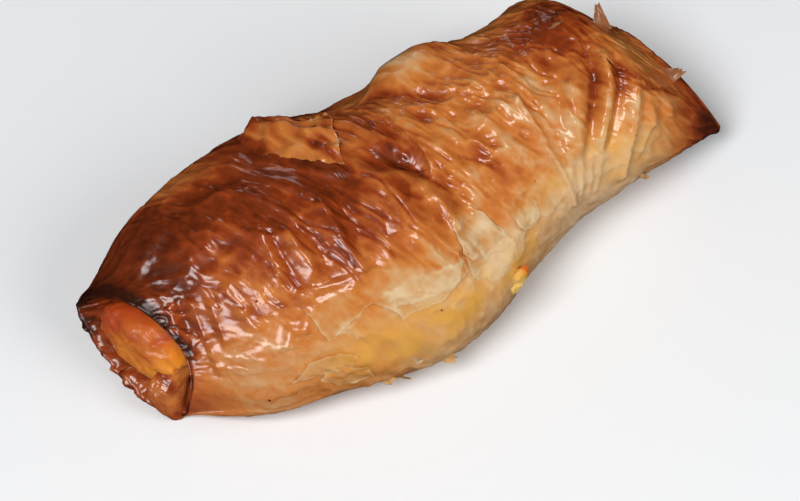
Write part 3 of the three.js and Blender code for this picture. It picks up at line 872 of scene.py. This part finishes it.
def crust_finish(name, colours):
    """Baked, egg-washed dough; its colours run from raw to burnt."""
    material, tree, shader = new_finish(name, EGG_WASHED)
    place = tree.nodes.new("ShaderNodeTexCoord").outputs["Object"]
    specks = noise(tree, place, 520, 4)
    baked = linked(tree, "ShaderNodeGroup", {"Specks": specks}, node_tree=UNEVEN_BROWNING).outputs["Browning"]
    buttered = {"Factor": kept_value(tree, "butter"), "A": coloured(tree, baked, colours), "B": BUTTER_YELLOW}
    mix = linked(tree, "ShaderNodeMix", buttered, data_type="RGBA")
    tree.links.new(mix.outputs["Result"], shader.inputs["Base Color"])
    tree.links.new(carried(tree, specks, (0, 1), (0.35, 0.5)), shader.inputs["Roughness"])
    tree.links.new(carried(tree, baked, (0.84, 1.0), (1.0, 0.35)), shader.inputs["Coat Weight"])
    along_folds = stretched(tree, kept_value(tree, "unrolled", "Vector"), (0.30, 0.18, 1))
    wrinkles = noise(tree, along_folds, 1.0, 2, 0.45, 0.6, "RIDGED_MULTIFRACTAL")
    crinkles = noise(tree, place, 420, 2, 0.5, 0.9, "RIDGED_MULTIFRACTAL")
    patches = carried(tree, noise(tree, place, 90, 1), (0.4, 0.62), (0, 1))
    wrinkled = bumped(tree, wrinkles, 0.26, 0.0008)
    crinkled = bumped(tree, worked_out(tree, "MULTIPLY", crinkles, patches), 0.3, 0.0003, wrinkled)
    tree.links.new(bumped(tree, specks, 0.25, 0.0004, crinkled), shader.inputs["Normal"])
    tree.links.new(bumped(tree, specks, 0.12, 0.0004, crinkled), shader.inputs["Coat Normal"])
    return material


crust = crust_finish("baked_crust", BAKED)
dry_flake = crust_finish("dry_flake", DRY)
pastry_skin.data.materials.append(crust)
print("crust has", len(crust.node_tree.nodes), "nodes")

# %% [markdown]
# The sausage. Its end shows in the left mouth, pressed oval by the roll, darker orange-red above, where the
# upper lip's shade is painted in, and yellower below where fat has run. It runs all the way through the roll
# as in the solid, with shallow dents and a moist, pitted skin. A grid bent into a tube with rounded
# ends makes it.

# %% The sausage
SAUSAGE_HALF_WIDTH, SAUSAGE_HALF_HEIGHT = 14.5, 10.0
SAUSAGE_CAP = 5.0
CAP_SHARE = 0.2
SAUSAGE_BLUNTNESS = 0.5
END_SLANT, END_LEAN, END_REACH = -0.26, 0.12, 40.0
MOIST = {"Roughness": 0.42, "Specular IOR Level": 0.3, "Coat Weight": 0.3, "Coat Roughness": 0.2,
         "Subsurface Weight": 0.25, "Subsurface Radius": (1.0, 0.3, 0.1), "Subsurface Scale": 0.004}
MEAT = [(0.0, (0.42, 0.058, 0.009)), (1.0, (0.76, 0.265, 0.018))]


def sausage_finish():
    """Wet, orange-red sausage skin, yellow where fat has run, darker red above with painted shade."""
    material, tree, shader = new_finish("sausage_skin", MOIST)
    place = tree.nodes.new("ShaderNodeTexCoord").outputs["Object"]
    pitted = bumped(tree, noise(tree, place, 420, 4), 0.35, 0.0006)
    tree.links.new(pitted, shader.inputs["Normal"])
    tree.links.new(pitted, shader.inputs["Coat Normal"])
    tree.links.new(coloured(tree, kept_value(tree, "yellowed"), MEAT), shader.inputs["Base Color"])
    return material


sausage_bm, column, row = grid_of(96, 150)
turn = column * 2 * np.pi
length = np.linalg.norm(SAUSAGE_END - SAUSAGE_TIP)
tip_sweep = np.clip(row / CAP_SHARE, 0, 1) * np.pi / 2
end_sweep = np.clip((1 - row) / CAP_SHARE, 0, 1) * np.pi / 2
straight = np.clip((row - CAP_SHARE) / (1 - 2 * CAP_SHARE), 0, 1)
along = SAUSAGE_CAP * (1 - np.cos(tip_sweep)) + straight * (length - 2 * SAUSAGE_CAP)
along = along + SAUSAGE_CAP * np.cos(end_sweep)
thick = (np.sin(tip_sweep) * np.sin(end_sweep)) ** SAUSAGE_BLUNTNESS
heading = (SAUSAGE_END - SAUSAGE_TIP) / length
wrinkle = 1 - (0.05 * crumple(along, turn * 9, 5, 4, 91) + 0.03 * lumps(along, turn * 14, 93)) * (row < 0.3)
points = SAUSAGE_TIP + heading * along[:, None]
points[:, 1] += SAUSAGE_HALF_WIDTH * thick * wrinkle * np.cos(turn)
points[:, 2] += SAUSAGE_HALF_HEIGHT * thick * wrinkle * np.sin(turn)
off_axis = points - sausage_axis(points[:, 0])
share = 1 - np.clip((points[:, 0] - SAUSAGE_TIP[0]) / END_REACH, 0, 1)
points[:, 0] += share * (END_SLANT * off_axis[:, 1] + END_LEAN * off_axis[:, 2])
blotches = 0.22 * lumps(points[:, 1] / 3, points[:, 2] / 2.5, 92)
# darker red towards the top as painted shade under the upper lip, yellower low down where fat has run
yellowed = np.clip(0.42 - 0.03 * off_axis[:, 1] - 0.045 * off_axis[:, 2] + blotches, 0, 1)
dents = 0.45 * lumps(points[:, 1] / 2.6, points[:, 2] / 2.2, 94)
dents = dents + 0.2 * lumps(points[:, 1] / 1.1, points[:, 2], 95)
points[:, 0] += share * dents
put(sausage_bm, in_metres(points), yellowed=yellowed)
closed(sausage_bm)
sausage = new_piece("sausage_skin", sausage_bm, sausage_finish())
print("sausage:", len(sausage.data.polygons), "faces,", round(length), "mm long")

# %% [markdown]
# The melted cheese. A drop has run out low on the near side and set there, lumpy, greasy and toasted orange
# at its upper end. It could be poured as a fluid, but a ball pulled long and made lumpy by a seeded rule is
# enough for so small a drop. It sits where the solid's drop sits.

# %% The melted cheese
CHEESE_X, CHEESE_ANGLE = 15.5, np.radians(176.0)
CHEESE_RADII = np.array([2.6, 1.9, 6.2])
CHEESE_TURN = 0.45
GREASY = {"Roughness": 0.3, "Subsurface Weight": 0.3, "Subsurface Radius": (1.0, 0.5, 0.15),
          "Subsurface Scale": 0.002}
TOASTED = [(0.2, (0.72, 0.47, 0.13)), (0.6, (0.66, 0.33, 0.045)), (1.0, (0.55, 0.10, 0.012))]


def cheese_finish():
    """Greasy melted cheese, yellow with a toasted orange end."""
    material, tree, shader = new_finish("melted_cheese", GREASY)
    place = tree.nodes.new("ShaderNodeTexCoord").outputs["Object"]
    curds = noise(tree, place, 900, 3)
    toasted = worked_out(tree, "MULTIPLY_ADD", curds, 0.5, kept_value(tree, "toast"))
    tree.links.new(coloured(tree, toasted, TOASTED), shader.inputs["Base Color"])
    tree.links.new(bumped(tree, curds, 0.4, 0.0005), shader.inputs["Normal"])
    return material


cheese_bm, ball = ball_of(5)
swell = 0.85 + 0.28 * lumps(ball[:, 0] * 1.5 + 9, ball[:, 2] * 3 + 5, 131)
swell = swell + 0.14 * lumps(ball[:, 1] * 5, ball[:, 2] * 8, 132)
drop = ball * CHEESE_RADII * np.stack([swell, swell, np.ones_like(swell)], -1)
turned = np.stack([drop[:, 0] * np.cos(CHEESE_TURN) + drop[:, 2] * np.sin(CHEESE_TURN), drop[:, 1],
                   drop[:, 2] * np.cos(CHEESE_TURN) - drop[:, 0] * np.sin(CHEESE_TURN)], -1)
seat = skin(u_at(np.array([CHEESE_X]), np.array([CHEESE_ANGLE])), np.array([CHEESE_ANGLE]), 0.1)[0]
upper = np.clip(1.3 * (ball[:, 2] - 0.2), 0, 1)
toast = upper * np.clip(0.7 + 0.5 * lumps(ball[:, 0] * 3, ball[:, 2] * 4, 133), 0, 1)
put(cheese_bm, in_metres(seat + turned), toast=toast)
cheese = new_piece("cheese_run", cheese_bm, cheese_finish())
print("cheese:", len(cheese.data.polygons), "faces")

# %% [markdown]
# The curl. At the near corner of the mouth a thick strip of dough hangs down over the lip to the floor. A
# ball is stretched along a curved spine and flattened across it, which keeps it closed and rounded at its
# edges.

# %% The curl at the near corner of the mouth
CURL_SPINE = np.array([(-70.6, -5.6, 17.5), (-82.6, -7.1, 11.1), (-77.9, -12.2, 0.2)])
CURL_HALF_WIDTH = 5.4
CURL_THICKNESS = 1.4
CURL_CUP = 1.6
CURL_ACROSS = np.array([0.85, -0.52, 0.0])
CURL_BROWNING = 0.62
curl_bm, ball = ball_of(5)
down = ((1 - ball[:, 2]) / 2)[:, None]
spine = CURL_SPINE[0] * (1 - down) ** 2 + CURL_SPINE[1] * 2 * down * (1 - down) + CURL_SPINE[2] * down ** 2
along = 2 * (1 - down) * (CURL_SPINE[1] - CURL_SPINE[0]) + 2 * down * (CURL_SPINE[2] - CURL_SPINE[1])
facing = np.cross(along, CURL_ACROSS)
facing /= np.linalg.norm(facing, axis=1, keepdims=True)
bumps = 0.35 * np.sin(7 * ball[:, 0] + 1) * (1 - down[:, 0])
bumps = bumps + 0.3 * lumps(ball[:, 0] * 4 + 7, ball[:, 2] * 5 + 5, 101)
bumps = bumps + 0.15 * lumps(ball[:, 0] * 11, ball[:, 2] * 13, 102)
proud = CURL_THICKNESS * ball[:, 1] - CURL_CUP * ball[:, 0] ** 2 + bumps
shape = spine + CURL_ACROSS * CURL_HALF_WIDTH * ball[:, :1] + facing * proud[:, None]
shape[:, 2] = np.maximum(shape[:, 2], 0.2)
browned = CURL_BROWNING + 0.16 * lumps(shape[:, 0] / 3, shape[:, 2] / 3, 103)
put(curl_bm, in_metres(shape), browning=browned, butter=np.zeros(len(shape)), unrolled=shape)
curl = new_piece("mouth_curl", curl_bm, crust)
print("curl:", len(curl.data.polygons), "faces")

# %% [markdown]
# Loose sheets. The outermost sheets have torn, and their edges stand off the roll by the thickness of paper.
# Cloth could be simulated for them, but they have set hard, so each is a patch of the skin inside a drawn
# outline: cut along a ragged edge, lifted most where it is free, sunk where it grows out of the skin, and
# thickened.

# %% Loose sheets
SHEET_CELL = 0.5
HINGE_REACH = 7
loose = []


def torn_grid(outline, ragged, seed):
    """A fine grid over an outline, with each vertex's place and its depth inside the torn edge."""
    corners = np.array(outline, float) * (1, MM_PER_DEGREE)
    low, high = corners.min(0) - 1, corners.max(0) + 1
    bm, column, row = grid_of(*np.ceil((high - low) / SHEET_CELL).astype(int))
    x, arc = low[0] + column * (high[0] - low[0]), low[1] + row * (high[1] - low[1])

    def torn_depth(x, arc):
        tear = lumps(x / 2.5, arc / 2.5, seed) + 0.6 * lumps(x / 0.9, arc / 0.9, seed + 1)
        return depth_inside(x, arc, outline) + ragged * tear

    depth = torn_depth(x, arc)
    slope_x = (torn_depth(x + 0.1, arc) - torn_depth(x - 0.1, arc)) / 0.2
    slope_arc = (torn_depth(x, arc + 0.1) - torn_depth(x, arc - 0.1)) / 0.2
    steepness = np.maximum(np.hypot(slope_x, slope_arc), 0.5)
    back = np.where(depth < 0, np.clip(-depth, 0, SHEET_CELL), 0) / steepness
    return bm, x + slope_x * back, arc + slope_arc * back, depth


def thicken(bm, depth, thickness):
    """Cuts a sheet along its torn edge and gives it a thickness."""
    outside = [vert for vert, inner in zip(bm.verts, depth) if inner < -SHEET_CELL]
    bmesh.ops.delete(bm, geom=outside, context="VERTS")
    bm.normal_update()
    below = bmesh.ops.extrude_face_region(bm, geom=bm.faces[:], use_keep_orig=True)["geom"]
    for vert in below:
        if isinstance(vert, bmesh.types.BMVert):
            vert.co -= vert.normal * thickness * MM
    bmesh.ops.recalc_face_normals(bm, faces=bm.faces)


def loose_sheet(name, outline, seed, lift, ragged, shade=0.0, hinge=None, folds=(), ground=0.0, crumpled=0.0,
                edge_glint=0.0, thickness=0.22, own=None):
    """A thin torn sheet over the skin, lifted most at its free edges."""
    bm, x, arc, depth = torn_grid(outline, ragged, seed)
    angle = np.radians(arc / MM_PER_DEGREE)
    free = np.clip(distance_to_path(x, arc, hinge) / HINGE_REACH, 0, 1) if hinge else np.ones_like(x)
    rising = lift * np.exp(-np.maximum(depth, 0) / 2.5) * (1 + 0.6 * lumps(x / 4, arc / 4, seed + 2))
    height = -0.6 + free * (0.75 + ground + rising)
    for path, width, rise in folds:
        height = height + free * rise * np.exp(-(distance_to_path(x, arc, path) / width) ** 2)
    crests = crumple(x, arc, 6, 3.6, seed + 4)
    height = height + free * crumpled * (0.6 * crests + 0.4 * crumple(x, arc, 3.4, 2, seed + 6) - 0.3)
    points = skin(u_at(x, angle), angle, height)
    shade = shade * np.clip(0.7 + 0.7 * lumps(x / 5, arc / 5, seed + 3), 0.1, 1.3)
    # a painted highlight along the free torn edge, where the edge catches the light
    rim = edge_glint * free ** 8 * np.exp(-(np.maximum(depth, 0) / 0.5) ** 2)
    shade = shade * np.clip((free - 0.75) / 0.25, 0, 1) - rim
    browned = browning(x, angle) + shade
    if own is not None:
        # the tan sheet keeps its own browning, with paler streaks along its crumples painted in as highlights
        plain = own + 0.16 * lumps(x / 3, arc / 3, seed + 5) + shade
        plain = plain - 0.2 * (crests - 0.35) - 0.5 * (crumple(x, arc, 14, 2.8, seed + 7) - 0.4)
        browned = browned + (plain - browned) * 0.8 * free
    put(bm, in_metres(points), browning=np.clip(browned, 0, 1), butter=butter(x, angle),
        unrolled=unrolled(x, angle))
    thicken(bm, depth, thickness)
    sheet = new_piece(name, bm, crust)
    sheet.data.set_sharp_from_angle(angle=0.9)
    loose.append(sheet)


print("a sheet has squares of", SHEET_CELL, "mm")

# %% [markdown]
# Three flaps. Across the waist of the roll the end of an orange sheet lies over the next, behind it a
# crumpled tan sheet stands up, and by the right mouth a sheet ends in a torn edge. Each has its own outline
# on the unrolled skin, and a hinge, which is the line where it is still fast.

# %% Three flaps
loose_sheet(
    "orange_flap",
    [(-2, 32), (-3, 48), (-1, 60), (3, 73), (5, 83), (6, 93), (5, 101), (2, 99), (-1, 94), (-3, 88), (-5, 83),
     (-9, 79), (-15, 78), (-20, 60), (-16, 38)],
    211, lift=0.3, ragged=0.25, shade=0.08, hinge=[(-8, 28), (-20, 44), (-20, 64), (-15, 80)],
    folds=[([(-6, 66), (1, 90)], 3, 0.5)], crumpled=0.4)
loose_sheet(
    "loose_tan_sheet",
    [(-30, 32), (-31.5, 44), (-31, 52), (-29, 58), (-27, 65), (-23, 71), (-19, 77), (-14, 85), (-13.5, 79),
     (-12, 75), (-11, 69), (-9, 64), (-8, 56), (-11, 44), (-19, 35), (-26, 31)],
    201, lift=0.2, ragged=0.4, hinge=[(-33.5, 49), (-34, 28), (-24, 28), (-9, 38)],
    folds=[([(-32, 44), (-22, 43)], 2, 1.9), ([(-24, 52), (-12, 68)], 2, 1.9),
           ([(-30, 53), (-18, 70)], 2, -0.3), ([(-28, 40), (-20, 56)], 1.4, 1.0),
           ([(-20, 42), (-13, 58)], 1.4, 1.0)],
    ground=0.2, crumpled=1.8, edge_glint=0.05, own=0.59)
loose_sheet(
    "end_flap",
    [(60, 86), (80, 88), (84, 118), (82, 134), (78, 130), (74, 133), (71, 130), (69, 122), (66, 116),
     (62, 104)],
    251, lift=0.8, ragged=0.4, shade=0.02, hinge=[(58, 88), (70, 86), (86, 88)])
print("flaps:", [len(sheet.data.polygons) for sheet in loose], "faces")

# %% [markdown]
# Pale films. Low on the near side the last sheets hardly browned. They are thin as tissue, wrinkled, and
# lie one over another, so each film is a loose sheet of half the thickness, paler than the skin below it,
# with a painted highlight along its torn edge. The larger ones grow out of the browned crown above.

# %% Pale films
FILMS = [
    # outline of a film (x, angle), how much paler it is, the border where it grows out of the skin
    ([(-45, 124), (-36, 122), (-25, 123), (-12, 122), (-4, 128), (0, 136), (1, 146), (-4, 148), (-9, 152),
      (-12, 150), (-16, 153), (-20.6, 154), (-22.5, 148), (-27, 141), (-31, 145), (-36, 148), (-40, 152),
      (-42.6, 135)], 0.05, [(-48, 122), (-25, 119), (-4, 124)]),
    ([(-18, 138), (-11, 135), (-3, 138), (1, 146), (-4, 148), (-9, 152), (-16, 153), (-20.6, 154), (-22, 146)],
     0.12, [(-22, 132), (-3, 132)]),
    ([(2, 118), (8, 117), (12.5, 132), (15.3, 144), (17.2, 154), (13, 151), (9.7, 148), (7.4, 151), (6.7, 143),
      (3.6, 144), (1.5, 138)], 0.20, [(0, 112), (10, 112)]),
    ([(2, 138), (3.6, 139), (6.7, 139), (7.4, 146), (9.7, 144), (17.2, 150), (17, 163), (9.5, 159), (2.4, 154),
      (1.8, 146)], 0.18, None),
    ([(19, 139), (24, 136), (28, 146), (27.5, 156), (24, 158), (20, 150)], 0.14, [(17, 133), (27, 136)]),
    ([(-41, 166), (-32.8, 174), (-31, 181), (-36, 183), (-40, 181), (-45, 174)], 0.14, None),
    ([(-47, 160), (-39, 160), (-34, 166), (-38, 171), (-45, 170), (-52, 168)], 0.08, None),
]
for number, (outline, paler, border) in enumerate(FILMS):
    loose_sheet(f"pale_film_{number}", outline, 260 + 10 * number, lift=-0.05, ragged=0.35, shade=-paler,
                hinge=border, ground=0.06 + 0.1 * bool(border), crumpled=0.5, edge_glint=0.15, thickness=0.1)
print(len(loose), "loose sheets with the films")

# %% [markdown]
# Flakes. Bits of the top sheets have broken loose and stand on edge at the right end, and a pale, buttery
# fringe sticks out where the roll meets the floor. A flake is a small grid, narrowed to its ragged tip and
# curled, with its root sunk in the skin.

# %% Flakes
FLAKES = [
    # root (x, angle), length, width, lean, turn, how browned, how buttery
    ((71.5, 80), 7, 5.5, 0.5, 1.2, 0.55, 0.0),
    ((82, 119), 6, 7, 0.9, 0.0, 0.55, 0.0),
    ((57.5, 77), 4, 3, 1.3, -0.3, 0.60, 0.0),
    ((-23, 197), 3.6, 7, 0.5, 0.3, 0.10, 0.8),
    ((-27, 196), 3.0, 6, 0.6, -0.4, 0.05, 0.6),
    ((-9.5, 194), 3.2, 6, 0.5, -0.2, 0.10, 0.6),
    ((65, 194), 2.6, 6, 0.7, 0.2, 0.10, 0.6),
    ((-20, 181), 2.5, 5, 0.9, 0.1, 0.0, 0.2),
]
DRY_TAPER, BUTTERY_TAPER = 0.8, 0.3
FLAKE_ROOT = 1.5


def flake(number, root, length, width, lean, turn, browned, buttery):
    """A torn, curled flake that grows out of the skin."""
    bm, column, row = grid_of(14, 12)
    at, angle = np.array([float(root[0])]), np.radians([float(root[1])])
    foot = skin(u_at(at, angle), angle)[0]
    out = smooth_roll(u_at(at, angle), angle)[1][0]
    along = np.cos(turn) * np.array([1.0, 0, 0]) + np.sin(turn) * np.cross(out, [1.0, 0, 0])
    stand = out * np.cos(lean) + along * np.sin(lean)
    across = np.cross(stand, along)
    across /= np.linalg.norm(across)
    normal = np.cross(across, stand)
    ragged = 0.8 + 0.3 * lumps(column * 3.5, row * 0.5, 500 + number)
    reach = row * ragged * length - FLAKE_ROOT * (1 - row)
    wide = (column - 0.5) * width * (1 - (BUTTERY_TAPER if buttery else DRY_TAPER) * row)
    curled = 0.9 * (row ** 2) * length * 0.25 + 0.5 * lumps(column * 2, row * 2, 510 + number)
    points = foot + across * wide[:, None] + stand * reach[:, None] + normal * curled[:, None]
    points[:, 2] = np.maximum(points[:, 2], 0.15)
    browned = np.clip(browned + 0.15 * lumps(column * 3, row * 3, 520 + number), 0, 1)
    put(bm, in_metres(points), browning=browned, butter=np.full(len(row), buttery), unrolled=points)
    bmesh.ops.recalc_face_normals(bm, faces=bm.faces)
    loose.append(new_piece(f"flake_{number}", bm, dry_flake))


for number, sizes in enumerate(FLAKES):
    flake(number, *sizes)
print(len(FLAKES), "flakes")

# %% [markdown]
# Crumbs. A few burnt crumbs cling to the glaze. Each is a small ball made uneven by a seeded rule, and all
# of them are one piece.

# %% Crumbs
CRUMBS = [
    # place (x, angle), size, how browned
    (-10, 157, 0.7, 0.95), (-52, 118, 0.9, 0.95), (-3, 84, 0.8, 0.95), (-58, 176, 1.1, 0.90),
    (-46, 150, 0.4, 0.95), (63, 152, 0.5, 0.85), (30, 140, 0.4, 0.90),
]
CRUMB_RADIUS, CRUMB_FLATNESS = 0.42, 0.7
crumb_bm = bmesh.new()
crumb_brown = []
for x, degrees, size, browned in CRUMBS:
    angle = np.radians([float(degrees)])
    spot = in_metres(skin(u_at(np.array([float(x)]), angle), angle, 0.1))[0]
    made = bmesh.ops.create_icosphere(crumb_bm, subdivisions=3, radius=size * CRUMB_RADIUS * MM)["verts"]
    for vert in made:
        way = vert.co.normalized()
        vert.co *= 0.75 + 0.45 * float(lumps(np.array(way.x * 2 + x), np.array(way.y * 2 + way.z * 3), 141))
        vert.co.z = vert.co.z * CRUMB_FLATNESS
    resting = Vector((spot[0], spot[1], max(spot[2], size * 0.3 * MM)))
    bmesh.ops.translate(crumb_bm, vec=resting, verts=made)
    crumb_brown += [browned] * len(made)
crumb_points = np.array([vert.co[:] for vert in crumb_bm.verts])
specks = 0.05 * lumps(crumb_points[:, 0] / 3e-4, crumb_points[:, 1] / 3e-4, 142)
put(crumb_bm, crumb_points, browning=np.array(crumb_brown) + specks, butter=np.zeros(len(crumb_points)),
    unrolled=crumb_points / MM)
crumbs = new_piece("crumbs", crumb_bm, crust)
loose.append(crumbs)
print(len(CRUMBS), "crumbs")

# %% [markdown]
# Floor and light. The roll lies on a plain pale floor, lit by a large soft window and a softbox. A coat
# mirrors its lamps, and each mirrored lamp is a highlight, so the lamps that should be seen in the egg wash
# are kept apart from those that only light the dough: one low on the left for the ribs by the mouth, one
# above, and a faint one behind for the far sheets.

# %% Floor and light
floor_bm, _, _ = grid_of(1, 1)
bmesh.ops.scale(floor_bm, vec=(6, 6, 1), verts=floor_bm.verts)
pale_floor, _, _ = new_finish("pale_floor", {"Base Color": (0.80, 0.81, 0.82, 1), "Roughness": 0.6})
floor = new_piece("floor", floor_bm, pale_floor)
floor.visible_glossy = False


def softbox(name, direction, distance, size, power):
    """A round soft light that looks at the roll's middle."""
    light = bpy.data.lights.new(name, "AREA")
    light.shape = "DISK"
    light.size = size
    light.energy = power
    lamp = bpy.data.objects.new(name, light)
    way = Vector(direction).normalized()
    lamp.location = way * distance + Vector((0, 0, 0.025))
    lamp.rotation_euler = way.to_track_quat("Z", "Y").to_euler()
    bpy.context.scene.collection.objects.link(lamp)
    return lamp


softbox("window", (-0.45, -0.25, 0.83), 1.3, 0.6, 15).visible_glossy = False
softbox("front_softbox", (0.5, -0.6, 0.62), 1.2, 0.8, 7).visible_glossy = False
softbox("side_window", (-0.95, -0.2, 0.24), 1.3, 0.5, 5.5).visible_diffuse = False
softbox("top_window", (-0.36, -0.22, 0.9), 1.3, 0.45, 5).visible_diffuse = False
softbox("back_window", (0.3, 0.86, 0.42), 1.3, 0.3, 0.5).visible_diffuse = False
world = bpy.context.scene.world or bpy.data.worlds.new("room")
bpy.context.scene.world = world
world.use_nodes = True
world.cycles_visibility.glossy = False
world.node_tree.nodes["Background"].inputs["Color"].default_value = (0.95, 0.97, 1.0, 1)
world.node_tree.nodes["Background"].inputs["Strength"].default_value = 0.11
bpy.context.scene.view_settings.view_transform = "Standard"
print(len(bpy.data.lights), "lamps and the room's light")

# %% [markdown]
# The camera. The photo looks down on the roll from the side of its open end, through a long lens. The
# direction was fitted to the photo, and the distance follows from the roll's own size in the picture.

# %% The camera
FRAME_WIDTH, FRAME_HEIGHT = 800, 501
PIXELS_PER_MM = 3.66
AZIMUTH, ELEVATION = np.radians(-31.5), np.radians(58.0)
LENS, SENSOR = 200.0, 36.0
TARGET_PIXEL = (399, 214)
target = np.array([0.0, 0.0, 24.0])
to_camera = np.array([np.cos(ELEVATION) * np.sin(AZIMUTH), -np.cos(ELEVATION) * np.cos(AZIMUTH),
                      np.sin(ELEVATION)])
rightward = np.array([np.cos(AZIMUTH), np.sin(AZIMUTH), 0.0])
upward = np.cross(to_camera, rightward)
distance = FRAME_WIDTH * LENS / SENSOR / PIXELS_PER_MM
eye = target + to_camera * distance
aim = target + rightward * (FRAME_WIDTH / 2 - TARGET_PIXEL[0]) / PIXELS_PER_MM
aim = aim - upward * (FRAME_HEIGHT / 2 - TARGET_PIXEL[1]) / PIXELS_PER_MM
camera = bpy.data.objects.new("camera", bpy.data.cameras.new("camera"))
camera.data.lens = LENS
camera.data.sensor_width = SENSOR
camera.data.clip_start = 0.05
camera.location = in_metres(eye)
camera.rotation_euler = Vector(in_metres(eye) - in_metres(aim)).to_track_quat("Z", "Y").to_euler()
bpy.context.scene.collection.objects.link(camera)
bpy.context.scene.camera = camera
print("camera at", in_metres(eye).round(3))

# %% [markdown]
# The whole. Each piece is tied to the roll's body, and the solids of the part that the pieces stand in for
# are hidden.

# %% The whole
for piece in (pastry_skin, curl, *loose):
    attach(piece, "root")
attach(sausage, "root")
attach(cheese, "root")
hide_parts("cheese_drop")
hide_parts("pastry")
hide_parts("sausage")
